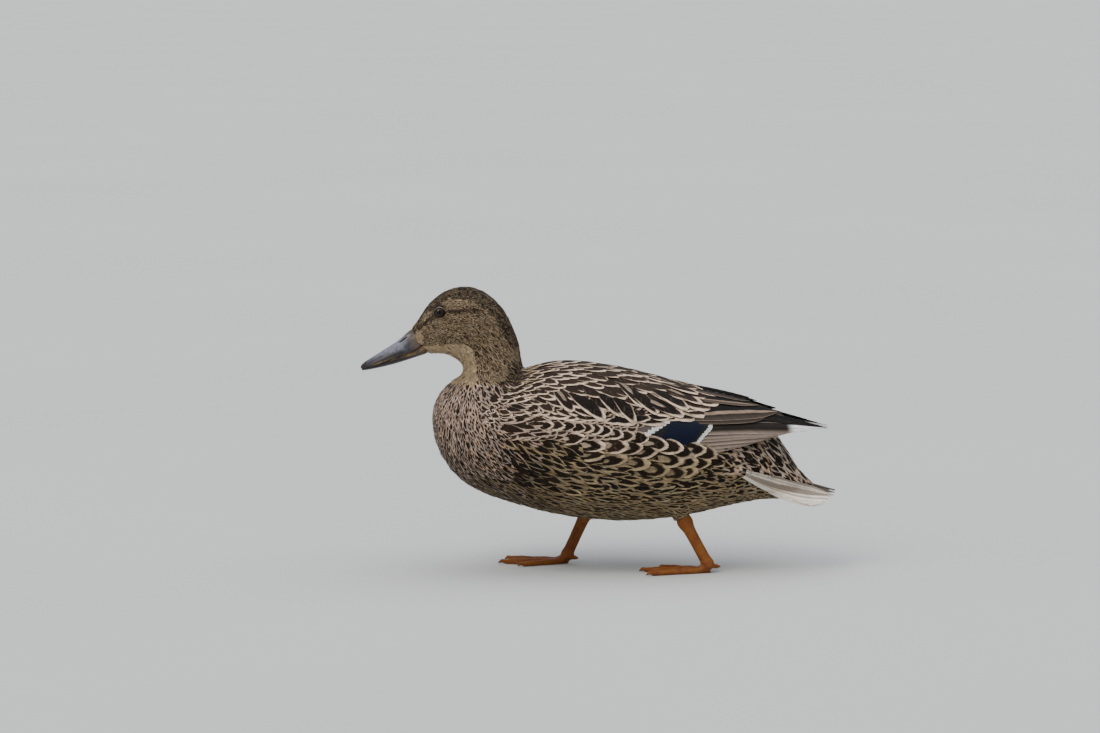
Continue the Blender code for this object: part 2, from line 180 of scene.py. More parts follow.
# The foot of the bill is the slanting plane through this point, (x, z), facing this way.
BILL_FOOT = (-136.1, 173.9)
INTO_HEAD = (0.843, 0.0, 0.538)
FOOT_DEPTH = 0.4  # of the bill's points that belong to its foot
FOOT_SQUEEZE = (1, 0.9, 0.93)  # the size of the foot when it is tucked in, as a share
WELD = 1e-6  # metres
SOFTENING = 0.5


def before_foot(points):
    """How far each point lies in front of the foot of the bill."""
    x, z = BILL_FOOT
    return (x - points[:, 0]) * INTO_HEAD[0] + (z - points[:, 2]) * INTO_HEAD[2]


def mesh_of(whole, name):
    """A mesh of the bmesh, which it frees."""
    mesh = bpy.data.meshes.new(name)
    whole.to_mesh(mesh)
    whole.free()
    return mesh


def linked(name, data):
    obj = bpy.data.objects.new(name, data)
    bpy.context.scene.collection.objects.link(obj)
    return obj


def grown_copy(nodes, grow, cut_x=None, tuck=0.0):
    """One bmesh of these nodes, each merged and grown so that neighbours run into each other. The
    foot of the bill is tucked into the head by that much."""
    whole = bmesh.new()
    for node in nodes:
        part = bmesh.new()
        part.from_mesh(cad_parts[node].data)
        bmesh.ops.remove_doubles(part, verts=part.verts, dist=WELD)
        bmesh.ops.recalc_face_normals(part, faces=part.faces)
        if tuck and node.startswith("bill"):
            foot = [v for v in part.verts if before_foot(np.array(v.co)[None] / MM)[0] < FOOT_DEPTH]
            centre = sum((v.co for v in foot), Vector()) / len(foot)
            bmesh.ops.scale(part, vec=FOOT_SQUEEZE, space=Matrix.Translation(-centre), verts=foot)
            bmesh.ops.translate(part, vec=Vector(INTO_HEAD) * tuck * MM, verts=foot)
        if cut_x is not None and node.startswith("wing"):
            bmesh.ops.bisect_plane(
                part, geom=part.verts[:] + part.edges[:] + part.faces[:], dist=WELD,
                plane_co=(cut_x * MM, 0, 0), plane_no=(1, 0, 0), clear_outer=True)
            bmesh.ops.holes_fill(part, edges=[e for e in part.edges if e.is_boundary])
        part.normal_update()
        for vert in part.verts:
            vert.co += vert.normal * grow * MM
        held = mesh_of(part, "held")
        whole.from_mesh(held)
        bpy.data.meshes.remove(held)
    return whole


def remeshed(whole, voxel, rounds):
    """A mesh of even quads round the bmesh, which it frees."""
    mesh = mesh_of(whole, "remeshed")
    obj = linked("remeshed", mesh)
    even = obj.modifiers.new("even", "REMESH")
    even.mode = "VOXEL"
    even.voxel_size = voxel * MM
    soft = obj.modifiers.new("soft", "SMOOTH")
    soft.factor = SOFTENING
    soft.iterations = rounds
    made = applied(obj)
    bpy.data.objects.remove(obj)
    bpy.data.meshes.remove(mesh)
    return made


def applied(obj):
    """A new mesh of the object with its modifiers."""
    bpy.context.view_layer.update()
    graph = bpy.context.evaluated_depsgraph_get()
    return bpy.data.meshes.new_from_object(obj.evaluated_get(graph), depsgraph=graph)


def points_of(mesh):
    """(points in millimetres, normals)."""
    co = np.empty(len(mesh.vertices) * 3, np.float32)
    mesh.vertices.foreach_get("co", co)
    normal = np.empty(len(mesh.vertices) * 3, np.float32)
    mesh.vertex_normals.foreach_get("vector", normal)
    return co.reshape(-1, 3).astype(float) / MM, normal.reshape(-1, 3).astype(float)


def set_points(mesh, points):
    mesh.vertices.foreach_set("co", (points * MM).astype(np.float32).ravel())
    mesh.update()


LOOK_FROM, LOOK_MISSES_AT = 300, 270  # how far off a look starts, and where one that misses is held


class Surface:
    """A mesh to lay feathers on, in millimetres."""

    def __init__(self, mesh):
        mesh.calc_loop_triangles()
        self.points, self.normals = points_of(mesh)
        triangles = np.empty(len(mesh.loop_triangles) * 3, np.int32)
        mesh.loop_triangles.foreach_get("vertices", triangles)
        self.triangles = triangles.reshape(-1, 3)
        self.tree = BVHTree.FromPolygons(self.points.tolist(), self.triangles.tolist())

    def nearest(self, places):
        """The nearest points of the surface and its smooth normals there."""
        flat = places.reshape(-1, 3)
        found = np.empty_like(flat)
        index = np.empty(len(flat), np.int64)
        for i, place in enumerate(flat.tolist()):
            hit, _, index[i], _ = self.tree.find_nearest(place)
            found[i] = hit
        corners = self.points[self.triangles[index]]
        a, b, c = corners[:, 0], corners[:, 1], corners[:, 2]
        whole = np.cross(b - a, c - a)
        size = np.maximum((whole * whole).sum(1), 1e-12)
        share_b = (np.cross(found - a, c - a) * whole).sum(1) / size
        share_c = (np.cross(b - a, found - a) * whole).sum(1) / size
        shares = np.stack([1 - share_b - share_c, share_b, share_c], 1)
        normal = (self.normals[self.triangles[index]] * shares[:, :, None]).sum(1)
        return found.reshape(places.shape), unit(normal).reshape(places.shape)

    def seen(self, x, height, side):
        """The point that a look from that side, falling by VIEW_RISE, meets at x and
        at this height across the look."""
        into = Vector((0, -side * math.cos(VIEW_RISE), -math.sin(VIEW_RISE)))
        up = Vector((0, -side * math.sin(VIEW_RISE), math.cos(VIEW_RISE)))
        start = Vector((x, 0, 0)) + up * height - into * LOOK_FROM
        hit = self.tree.ray_cast(start, into)[0]
        if hit is None:
            hit = self.tree.find_nearest(start + into * LOOK_MISSES_AT)[0]
        return np.array(hit)


TRIES = 8  # random points tried for each one that is kept, or more


def scattered(surface, spacing, flow, stretch, rng):
    """Even random points, spacing(points) apart: wider than that along the flow, by stretch, and
    closer across it."""
    corners = surface.points[surface.triangles]
    middle = corners.mean(1)
    whole = np.cross(corners[:, 1] - corners[:, 0], corners[:, 2] - corners[:, 0])
    area = np.linalg.norm(whole, axis=1) / 2
    weight = area / spacing(middle) ** 2
    count = int(weight.sum() * TRIES)
    chosen = rng.choice(len(area), count, p=weight / weight.sum())
    share = rng.random((count, 2))
    share[share.sum(1) > 1] = 1 - share[share.sum(1) > 1]
    a, b, c = (corners[chosen, k] for k in range(3))
    places = a + (b - a) * share[:, :1] + (c - a) * share[:, 1:]
    reach = spacing(places)
    course = flow(places)
    tree = KDTree(count)
    for i, place in enumerate(places.tolist()):
        tree.insert(place, i)
    tree.balance()
    taken = np.zeros(count, bool)
    kept = []
    for i in range(count):
        if taken[i]:
            continue
        kept.append(i)
        close = [j for _, j, _ in tree.find_range(places[i], reach[i] * stretch)]
        offset = places[close] - places[i]
        ahead = (offset @ course[i]) / stretch
        aside = (offset**2).sum(1) - (ahead * stretch) ** 2
        inside = ahead**2 + aside * stretch**2 < reach[i] ** 2
        taken[np.array(close)[inside]] = True
    return places[kept]


LIE_WEIGHT = (1, 0.35, 1)  # how much a distance counts along each axis
LIE_REACH = (0.9, 6)  # how far a stretch of the spine is felt: a share of its length, and more


def lie(points):
    """The way that the coat lies: along the spine, before it is laid on the surface."""
    line = np.array([(x, 0.0, z) for x, z in SPINE])
    middle = (line[1:] + line[:-1]) / 2
    course = unit(line[1:] - line[:-1])
    apart = ((points[:, None, :] - middle[None]) ** 2 * np.array(LIE_WEIGHT)).sum(-1)
    reach = np.linalg.norm(line[1:] - line[:-1], axis=1)[None] * LIE_REACH[0] + LIE_REACH[1]
    weight = np.exp(-(apart - apart.min(1, keepdims=True)) / (2 * reach**2))
    return unit((weight[:, :, None] * course[None]).sum(1))


def spine_place(points):
    """Where each point lies on an unwrap of the body: (length along the spine, angle round it)."""
    line = np.array([(x, 0.0, z) for x, z in SPINE])
    start, step = line[:-1], line[1:] - line[:-1]
    size = np.linalg.norm(step, axis=1)
    ends = np.concatenate([[0], np.cumsum(size)])
    share = ((points[:, None] - start[None]) * step[None]).sum(-1) / size**2
    held = np.clip(share, 0, 1)
    foot = start[None] + held[:, :, None] * step[None]
    apart = np.linalg.norm(points[:, None] - foot, axis=2)
    best = apart.argmin(1)
    rows = np.arange(len(points))
    length = ends[best] + held[rows, best] * size[best]
    away = points - foot[rows, best]
    course = step[best] / size[best, None]
    back = np.stack([-course[:, 2], course[:, 1], course[:, 0]], 1)
    angle = np.arctan2(away[:, 1], (away * back).sum(1))
    return length, angle


# ---------------------------------------------------------------- vanes


ROWS_TO_TIP = 1.25  # 1 spaces a vane's rows evenly, and more brings them closer at its tip
WIDEST = 0.5  # along the vane
RISE_RATE = 3  # how fast a vane rises from its root
RAGGED_FROM, RAGGED_RANGE = 0.6, (-1, 0.35)  # where along a vane its tip is uneven, and how much


def vane_grid(columns, rows):
    """(across from -1 to 1, along from 0 to 1, quads) of one vane, denser towards its tip."""
    grid = bmesh.new()
    bmesh.ops.create_grid(grid, x_segments=columns - 1, y_segments=rows - 1, size=1)
    grid.verts.ensure_lookup_table()
    across = np.array([v.co.x for v in grid.verts])
    length = np.array([(v.co.y + 1) / 2 for v in grid.verts])
    quads = np.array([[v.index for v in f.verts] for f in grid.faces])
    grid.free()
    return across, 1 - (1 - length) ** ROWS_TO_TIP, quads


def half_width(length, roundness, tip, root):
    """The vane's half width along it, as a share of its greatest."""
    rise = root + (1 - root) * np.sin(np.clip(length / WIDEST, 0, 1) * math.pi / 2)
    fall = 1 - (1 - tip) * np.clip((length - WIDEST) / (1 - WIDEST), 0, 1) ** roundness
    return rise * fall


def plan_of(root, way, **sizes):
    """What to grow: one row for each feather, with a number repeated for all of them."""
    count = len(root)
    plan = SimpleNamespace(root=np.array(root, float), way=np.array(way, float))
    usual = dict(
        length=10.0, width=5.0, roundness=2.6, tip=0.34, stem=0.4, lift=(-2.0, 0.0), roll=0.05, camber=0.10,
        turn=0.0, ragged=0.08, pale=(0.4, 0.3, 0.2), dark=(0.03, 0.02, 0.01), mark=(0.7, 0.3, 0.6),
        inner=(0.0, 0.4, 0.0), side=np.where(plan.root[:, 1] < 0, LEFT, RIGHT))
    numbers = {"lift": 2, "pale": 3, "dark": 3, "mark": 3, "inner": 3}
    for name, value in {**usual, **sizes}.items():
        shape = (count, numbers[name]) if name in numbers else (count,)
        setattr(plan, name, np.broadcast_to(np.array(value, float), shape).copy())
    return plan


def inner_of(rng, count, wide=0.0, long=0.3):
    """The inner attribute of count vanes: two numbers of their material's own, and a random one
    that makes each vane's markings differ."""
    return np.stack([np.broadcast_to(wide, count), np.broadcast_to(long, count), rng.random(count) * 90], 1)


def merged(plans):
    return SimpleNamespace(**{
        name: np.concatenate([getattr(plan, name) for plan in plans]) for name in vars(plans[0])})


def laid(plan, grid, surface, rng):
    """The points of each vane of the plan, laid along the surface from its root."""
    across, length, _ = grid
    rows = np.unique(length)
    count, size = len(plan.root), len(across)
    spot, normal = surface.nearest(plan.root)
    way = unit(plan.way - normal * dot(plan.way, normal))
    spots, normals, ways = [spot], [normal], [way]
    for before, here in zip(rows[:-1], rows[1:]):
        step = (here - before) * plan.length[:, None]
        bend = (here - before) * plan.turn[:, None]
        way = unit(way + np.cross(normal, way) * bend)
        spot, normal = surface.nearest(spot + way * step)
        way = unit(way - normal * dot(way, normal))
        spots.append(spot)
        normals.append(normal)
        ways.append(way)
    at = np.searchsorted(rows, length)
    spots, normals, ways = (np.stack(v, 1)[:, at] for v in (spots, normals, ways))
    sideways = np.cross(normals, ways) * plan.side[:, None, None]
    wide = half_width(length[None], plan.roundness[:, None], plan.tip[:, None], plan.stem[:, None])
    out = across[None] * wide * plan.width[:, None] / 2
    near_tip = np.where(length > RAGGED_FROM, (length - RAGGED_FROM) / (1 - RAGGED_FROM), 0)
    torn = rng.uniform(*RAGGED_RANGE, (count, size)) * near_tip[None]
    forward = torn * plan.ragged[:, None] * plan.length[:, None]
    flat = spots + sideways * out[:, :, None] + ways * forward[:, :, None]
    snapped, skin_normals = surface.nearest(flat)
    lifted = unit(normals + skin_normals)
    rise = (1 - np.exp(-RISE_RATE * length)) / (1 - math.exp(-RISE_RATE))
    height = plan.lift[:, :1] + (plan.lift[:, 1:] - plan.lift[:, :1]) * rise[None]
    hollow = plan.camber[:, None] * (across[None] ** 2) * plan.width[:, None] / 2
    height = height + plan.roll[:, None] * out - hollow
    return snapped + lifted * height[:, :, None]


def patch_places(plan, patch):
    """Where each tuft's patch lies on OFBake: its root's place on the unwrap, spread to the map."""
    length, angle = spine_place(plan.root)
    room = 1 - 2 * patch
    low = np.array((length.min(), angle.min()))
    span = np.maximum(np.array((np.ptp(length), np.ptp(angle))), 1e-6)
    return patch + room * (np.stack([length, angle], 1) - low) / span


def atlas_places(count, patch):
    """Where each large feather's own patch lies on OFBake, in rows."""
    across = int(1 / patch)
    order = np.arange(count)
    return (np.stack([order % across, order // across], 1) + 0.5) * patch


def vanes(name, plan, points, grid, material, patch, places, replaced=()):
    """One piece of all the vanes of the plan, with what their material reads. Each vane's patch on
    OFBake is this large and lies at its own one of these places."""
    across, length, quads = grid
    count, size = len(plan.root), len(across)
    left_facing = (plan.side < 0)[:, None, None]
    order = np.where(left_facing, quads[None], quads[None, :, ::-1])
    order = order + (np.arange(count) * size)[:, None, None]
    corner = order.reshape(-1)
    mesh = bpy.data.meshes.new(name)
    mesh.vertices.add(count * size)
    mesh.loops.add(len(corner))
    mesh.polygons.add(len(corner) // 4)
    mesh.vertices.foreach_set("co", (points * MM).astype(np.float32).ravel())
    mesh.loops.foreach_set("vertex_index", corner.astype(np.int32))
    mesh.polygons.foreach_set("loop_start", np.arange(0, len(corner), 4, dtype=np.int32))
    mesh.polygons.foreach_set("use_smooth", np.ones(len(corner) // 4, bool))
    inside = np.stack([across * 0.5 + 0.5, length], 1)
    bake = mesh.uv_layers.new(name="OFBake")
    vane = mesh.uv_layers.new(name="vane")
    vane.uv.foreach_set("vector", inside[corner % size].astype(np.float32).ravel())
    on_map = places[corner // size] + (inside[corner % size] - 0.5) * patch
    bake.uv.foreach_set("vector", on_map.astype(np.float32).ravel())
    each = {"pale": ("FLOAT_COLOR", plan.pale), "dark": ("FLOAT_COLOR", plan.dark),
            "mark": ("FLOAT_VECTOR", plan.mark), "inner": ("FLOAT_VECTOR", plan.inner)}
    for what, (kind, values) in each.items():
        layer = mesh.attributes.new(what, kind, "POINT")
        if kind == "FLOAT_COLOR":
            values = np.concatenate([values, np.ones((count, 1))], 1)
        field = "color" if kind == "FLOAT_COLOR" else "vector"
        layer.data.foreach_set(field, np.repeat(values, size, 0).astype(np.float32).ravel())
    mesh.update()
    mesh.validate()
    return placed(name, mesh, material, replaced)


def grown(name, plan, grid, surface, rng, material, patch, pitch):
    """One piece of large feathers laid on the surface, with their patches this far apart on
    OFBake."""
    points = laid(plan, grid, surface, rng)
    return vanes(name, plan, points, grid, material, patch, atlas_places(len(plan.root), pitch))


def placed(name, mesh, material, replaced=()):
    """A piece of that mesh, riding on the body."""
    mesh.name = name
    obj = linked(name, mesh)
    mesh.materials.clear()
    mesh.materials.append(material)
    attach(obj, "root")
    if replaced:
        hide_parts(*replaced)
    return obj


# ---------------------------------------------------------------- materials


class Nodes:
    """A material's nodes, made one after the other."""

    def __init__(self, name, roughness=0.6, **settings):
        self.material = bpy.data.materials.new(name)
        self.material.use_nodes = True
        self.tree = self.material.node_tree
        self.shader = self.tree.nodes["Principled BSDF"]
        self.shader.inputs["Roughness"].default_value = roughness
        for socket, value in settings.items():
            self.shader.inputs[socket.replace("_", " ")].default_value = value

    def link(self, value, socket):
        if isinstance(value, bpy.types.NodeSocket):
            self.tree.links.new(value, socket)
        elif isinstance(value, (tuple, list, np.ndarray)):
            value = [float(v) for v in value]
            socket.default_value = value + [1.0] * (len(socket.default_value) - len(value))
        else:
            socket.default_value = value

    def attribute(self, name, output="Color"):
        made = self.tree.nodes.new("ShaderNodeAttribute")
        made.attribute_name = name
        return made.outputs[output]

    def split(self, vector):
        made = self.tree.nodes.new("ShaderNodeSeparateXYZ")
        self.link(vector, made.inputs[0])
        return made.outputs[0], made.outputs[1], made.outputs[2]

    def joined(self, x, y, z=0.0):
        made = self.tree.nodes.new("ShaderNodeCombineXYZ")
        for value, socket in zip((x, y, z), made.inputs):
            self.link(value, socket)
        return made.outputs[0]

    def math(self, operation, *values):
        made = self.tree.nodes.new("ShaderNodeMath")
        made.operation = operation
        for value, socket in zip(values, made.inputs):
            self.link(value, socket)
        return made.outputs[0]

    def plus(self, a, b):
        return self.math("ADD", a, b)

    def less(self, a, b):
        return self.math("SUBTRACT", a, b)

    def times(self, a, b):
        return self.math("MULTIPLY", a, b)

    def scaled(self, value, factor, offset):
        return self.math("MULTIPLY_ADD", value, factor, offset)

    def size(self, value):
        return self.math("ABSOLUTE", value)

    def greater(self, a, b):
        return self.math("MAXIMUM", a, b)

    def ramp(self, value, low, high, to_low=0.0, to_high=1.0):
        made = self.tree.nodes.new("ShaderNodeMapRange")
        made.interpolation_type = "SMOOTHSTEP"
        for number, socket in zip((value, low, high, to_low, to_high), made.inputs):
            self.link(number, socket)
        return made.outputs[0]

    def mix(self, share, a, b, blend="MIX"):
        made = self.tree.nodes.new("ShaderNodeMix")
        made.data_type = "RGBA"
        made.blend_type = blend
        self.link(share, made.inputs[0])
        self.link(a, made.inputs[6])
        self.link(b, made.inputs[7])
        return made.outputs[2]

    def lit(self, base, light):
        """The colour base times the number light."""
        grey = self.tree.nodes.new("ShaderNodeCombineColor")
        for socket in grey.inputs:
            self.link(light, socket)
        return self.mix(1.0, base, grey.outputs[0], "MULTIPLY")

    def vane(self):
        """A place on a vane: (across from 0 to 1, along from 0 to 1, across from -1 to 1)."""
        made = self.tree.nodes.new("ShaderNodeUVMap")
        made.uv_map = "vane"
        u, v, _ = self.split(made.outputs[0])
        return u, v, self.scaled(u, 2.0, -1.0)

    def place(self):
        return self.tree.nodes.new("ShaderNodeTexCoord").outputs["Object"]

    def noise(self, vector, scale, detail=2.0, rough=0.5):
        made = self.tree.nodes.new("ShaderNodeTexNoise")
        for name, value in (("Vector", vector), ("Scale", scale), ("Detail", detail), ("Roughness", rough)):
            self.link(value, made.inputs[name])
        return made.outputs[0]

    def bump(self, height, distance, strength):
        made = self.tree.nodes.new("ShaderNodeBump")
        made.inputs["Strength"].default_value = strength
        made.inputs["Distance"].default_value = distance
        self.link(height, made.inputs["Height"])
        return made.outputs[0]

    def set(self, **sockets):
        for name, value in sockets.items():
            self.link(value, self.shader.inputs[name.replace("_", " ")])
        return self.material


def barbs(nodes, across, length, seed, count, slope):
    """(streaks of tone along the barbs, height of the barbs), both from 0 to 1."""
    reach = nodes.size(across)
    course = nodes.less(length, nodes.times(reach, slope))
    place = nodes.joined(nodes.times(course, count), nodes.times(reach, 1.5), seed)
    streaks = nodes.noise(place, 1.0, 3.0, 0.6)
    ridge = nodes.math("SINE", nodes.times(course, count * math.tau))
    return streaks, nodes.scaled(ridge, 0.5, 0.5)


OVAL_BLUNTNESS = 2.4  # 2 makes the dark marks ellipses


def contour_material(name, barb_count=9.0, bump=0.00012, wander=0.26, skew=0.5, soft=0.4, tucked_shade=0.0):
    """A body feather: a dark mark on a pale vane, with a pale patch in it where inner says so.
    The mark leans to one side or the other by up to half of skew. The last argument is painted
    shade: how much darker the pale fringe is at the root and along the upper edge, where the
    feather lies under its neighbours, than at the tip and the lower edge."""
    nodes = Nodes(name, 0.7, Specular_IOR_Level=0.12)
    u, v, across = nodes.vane()
    wide, middle, long = nodes.split(nodes.attribute("mark", "Vector"))
    inner_wide, inner_long, seed = nodes.split(nodes.attribute("inner", "Vector"))
    wobble = nodes.noise(nodes.joined(nodes.times(u, 2.2), nodes.times(v, 5.0), seed), 1.0)
    other_seed = nodes.plus(seed, 31.7)
    drift = nodes.noise(nodes.joined(nodes.times(u, 2.6), nodes.times(v, 2.0), other_seed), 1.0, 3.0)
    lean = nodes.scaled(nodes.math("FRACT", nodes.times(seed, 7.31)), skew, -skew / 2)
    across_moved = nodes.plus(nodes.plus(across, lean), nodes.scaled(wobble, wander * 2, -wander))
    length_moved = nodes.plus(v, nodes.scaled(drift, wander, -wander / 2))
    ahead = nodes.less(length_moved, middle)

    def oval(half_wide, half_long, back=0.0):
        """1 on the border of a blunt oval, and less inside it."""
        shares = (nodes.math("DIVIDE", across_moved, half_wide),
                  nodes.math("DIVIDE", nodes.plus(ahead, back), half_long))
        return nodes.plus(*(nodes.math("POWER", nodes.size(share), OVAL_BLUNTNESS) for share in shares))

    outer = nodes.ramp(oval(wide, long), 0.9 - soft, 1.15, 1.0, 0.0)
    patch = nodes.ramp(oval(nodes.plus(inner_wide, 0.001), inner_long, 0.14), 0.6, 1.25, 1.0, 0.0)
    mark = nodes.times(outer, nodes.less(1.0, patch))
    streaks, height = barbs(nodes, across, v, seed, barb_count, 0.22)
    mark = nodes.times(mark, nodes.ramp(streaks, 0.2, 0.45, 0.72, 1.0))
    # Painted shade and light on the pale fringe: darker at the root and along the upper edge, where the
    # feather lies under its neighbours, and a little lighter at the exposed tip and lower edge.
    lower = nodes.times(nodes.ramp(across, -0.2, 0.7), nodes.ramp(v, 0.2, 0.6))
    bright = nodes.greater(nodes.ramp(v, 0.60, 0.95), lower)
    bright = nodes.times(bright, nodes.ramp(drift, 0.30, 0.50, 0.5, 1.0))
    painted_fringe_light = nodes.ramp(bright, 0.0, 1.0, 1 - tucked_shade, 1 + 0.2 * tucked_shade)
    fringe = nodes.lit(nodes.attribute("pale"), painted_fringe_light)
    base = nodes.mix(mark, fringe, nodes.attribute("dark"))
    light = nodes.ramp(streaks, 0.25, 0.75, 0.70, 1.25)
    shaft = nodes.ramp(nodes.size(across), 0.02, 0.07, 0.82, 1.0)
    light = nodes.times(light, shaft)
    return nodes.set(Base_Color=nodes.lit(base, light), Normal=nodes.bump(height, bump, 0.6))


def quill_material(name, glossy=0.6, shaded=(0.17, 2.1)):
    """A flight feather: ground, a stripe along the vane and a thin pale edge. mark gives the
    stripe's place across, its half width and the edge's width; inner gives where a dark tip
    starts, and how much of the lower vane's end is painted pale as a glint of reflected light.
    shaded is painted light across the vane: the factors on the ground of the upper vane, in
    painted shade under the feather above, and of the lower vane, painted lit towards its edge."""
    nodes = Nodes(name, glossy, Specular_IOR_Level=0.1)
    u, v, across = nodes.vane()
    stripe_at, stripe_half, edge = nodes.split(nodes.attribute("mark", "Vector"))
    tip_from, lower, seed = nodes.split(nodes.attribute("inner", "Vector"))
    drift = nodes.noise(nodes.joined(nodes.times(u, 2.0), nodes.times(v, 6.0), seed), 1.0, 3.0)
    moved = nodes.plus(across, nodes.scaled(drift, 0.24, -0.12))
    apart = nodes.size(nodes.less(moved, stripe_at))
    past = nodes.less(apart, stripe_half)
    striped = nodes.math("GREATER_THAN", stripe_half, 0.01)
    stripe = nodes.times(nodes.ramp(past, -0.06, 0.10, 1.0, 0.0), striped)
    stripe = nodes.times(stripe, nodes.ramp(drift, 0.3, 0.55, 0.7, 1.0))
    rim = nodes.plus(nodes.size(across), nodes.scaled(drift, 0.06, -0.03))
    rim = nodes.ramp(nodes.plus(rim, edge), 0.98, 1.06)
    # Painted glint: the end of the lower vane painted pale where light reflects off it, as much as inner
    # says.
    glint = nodes.times(nodes.ramp(across, -0.75, -0.6), lower)
    glint = nodes.times(glint, nodes.ramp(v, 0.66, 0.74))
    pale = nodes.greater(nodes.greater(stripe, rim), glint)
    streaks, height = barbs(nodes, across, v, seed, 34.0, 0.12)
    # Darker towards the tip where inner says so, and painted shade across the vane: dark on the upper vane
    # under the feather above, lit towards the lower edge.
    tip_and_shade = nodes.ramp(nodes.less(v, tip_from), -0.10, 0.10, 1.0, 0.22)
    tip_and_shade = nodes.times(tip_and_shade, nodes.ramp(across, 0.15, 0.95, *shaded))
    ground = nodes.lit(nodes.attribute("dark"), tip_and_shade)
    base = nodes.mix(pale, ground, nodes.attribute("pale"))
    shaft = nodes.ramp(nodes.size(across), 0.02, 0.08, 0.4, 1.0)
    light = nodes.times(nodes.ramp(streaks, 0.25, 0.75, 0.84, 1.14), shaft)
    return nodes.set(Base_Color=nodes.lit(base, light), Normal=nodes.bump(height, 0.0001, 0.5))


BORDER_SOFTNESS = 0.008  # half of the stretch of the vane in which one band turns into the next


def banded_material(name, bands, roughness, gloss=0.5):
    """A vane in bands along its length, as (start along the vane, colour), with uneven borders."""
    nodes = Nodes(name, roughness, Specular_IOR_Level=gloss)
    _, v, across = nodes.vane()
    _, _, seed = nodes.split(nodes.attribute("inner", "Vector"))
    streaks, height = barbs(nodes, across, v, seed, 26.0, 0.10)
    at = nodes.plus(v, nodes.scaled(streaks, 0.03, -0.015))
    colours = nodes.tree.nodes.new("ShaderNodeValToRGB")
    stops = colours.color_ramp.elements
    stops.remove(stops[1])
    stops[0].color = (*bands[0][1], 1)
    for (_, before), (start, after) in zip(bands, bands[1:]):
        stops.new(start - BORDER_SOFTNESS).color = (*before, 1)
        stops.new(start + BORDER_SOFTNESS).color = (*after, 1)
    nodes.link(at, colours.inputs[0])
    light = nodes.ramp(streaks, 0.25, 0.75, 0.85, 1.15)
    base = nodes.lit(colours.outputs[0], light)
    return nodes.set(Base_Color=base, Normal=nodes.bump(height, 0.0001, 0.5))


def skin_material():
    """Down and skin under the coat in the coat's own markings, and scaled orange legs and webs."""
    nodes = Nodes("Skin and down", 0.7, Specular_IOR_Level=0.3)
    place = nodes.place()
    ground = nodes.attribute("ground")
    down = nodes.noise(place, 420.0, 3.0, 0.6)
    shade = nodes.ramp(down, 0.3, 0.7, 0.7, 1.2)
    feathered = nodes.lit(ground, shade)
    leg = nodes.attribute("leg", "Fac")
    scute = nodes.attribute("scute", "Fac")
    web = nodes.attribute("web", "Fac")
    wear_and_highlight = nodes.noise(place, 160.0, 4.0, 0.6)
    orange = nodes.mix(nodes.ramp(wear_and_highlight, 0.35, 0.7), tone("orange"), tone("orange") * (0.72, 0.52, 0.8))
    orange = nodes.mix(nodes.times(web, 0.55), orange, tone("orange") * (0.45, 0.40, 0.9))
    turn = nodes.math("FRACT", nodes.plus(scute, nodes.times(wear_and_highlight, 0.35)))
    groove = nodes.times(nodes.ramp(nodes.size(nodes.less(turn, 0.5)), 0.36, 0.5), nodes.less(1.0, web))
    cells = nodes.tree.nodes.new("ShaderNodeTexVoronoi")
    cells.feature = "DISTANCE_TO_EDGE"
    nodes.link(place, cells.inputs["Vector"])
    cells.inputs["Scale"].default_value = 900.0
    net = nodes.ramp(cells.outputs["Distance"], 0.0, 0.16, 1.0, 0.0)
    lines = nodes.greater(groove, nodes.times(net, 0.55))
    orange = nodes.mix(nodes.times(lines, 0.3), orange, tone("orange") * (0.22, 0.16, 0.3))
    base = nodes.mix(leg, feathered, orange)
    lid = nodes.attribute("lid", "Fac")
    base = nodes.mix(nodes.ramp(lid, 0.02, 0.3), base, tone("face") * 0.9)
    base = nodes.mix(nodes.ramp(lid, 0.45, 0.8), base, (0.012, 0.008, 0.006))
    height = nodes.times(nodes.less(1.0, lines), leg)
    rough = nodes.ramp(leg, 0.0, 1.0, 0.75, 0.42)
    return nodes.set(Base_Color=base, Roughness=rough, Normal=nodes.bump(height, 0.00025, 0.8))


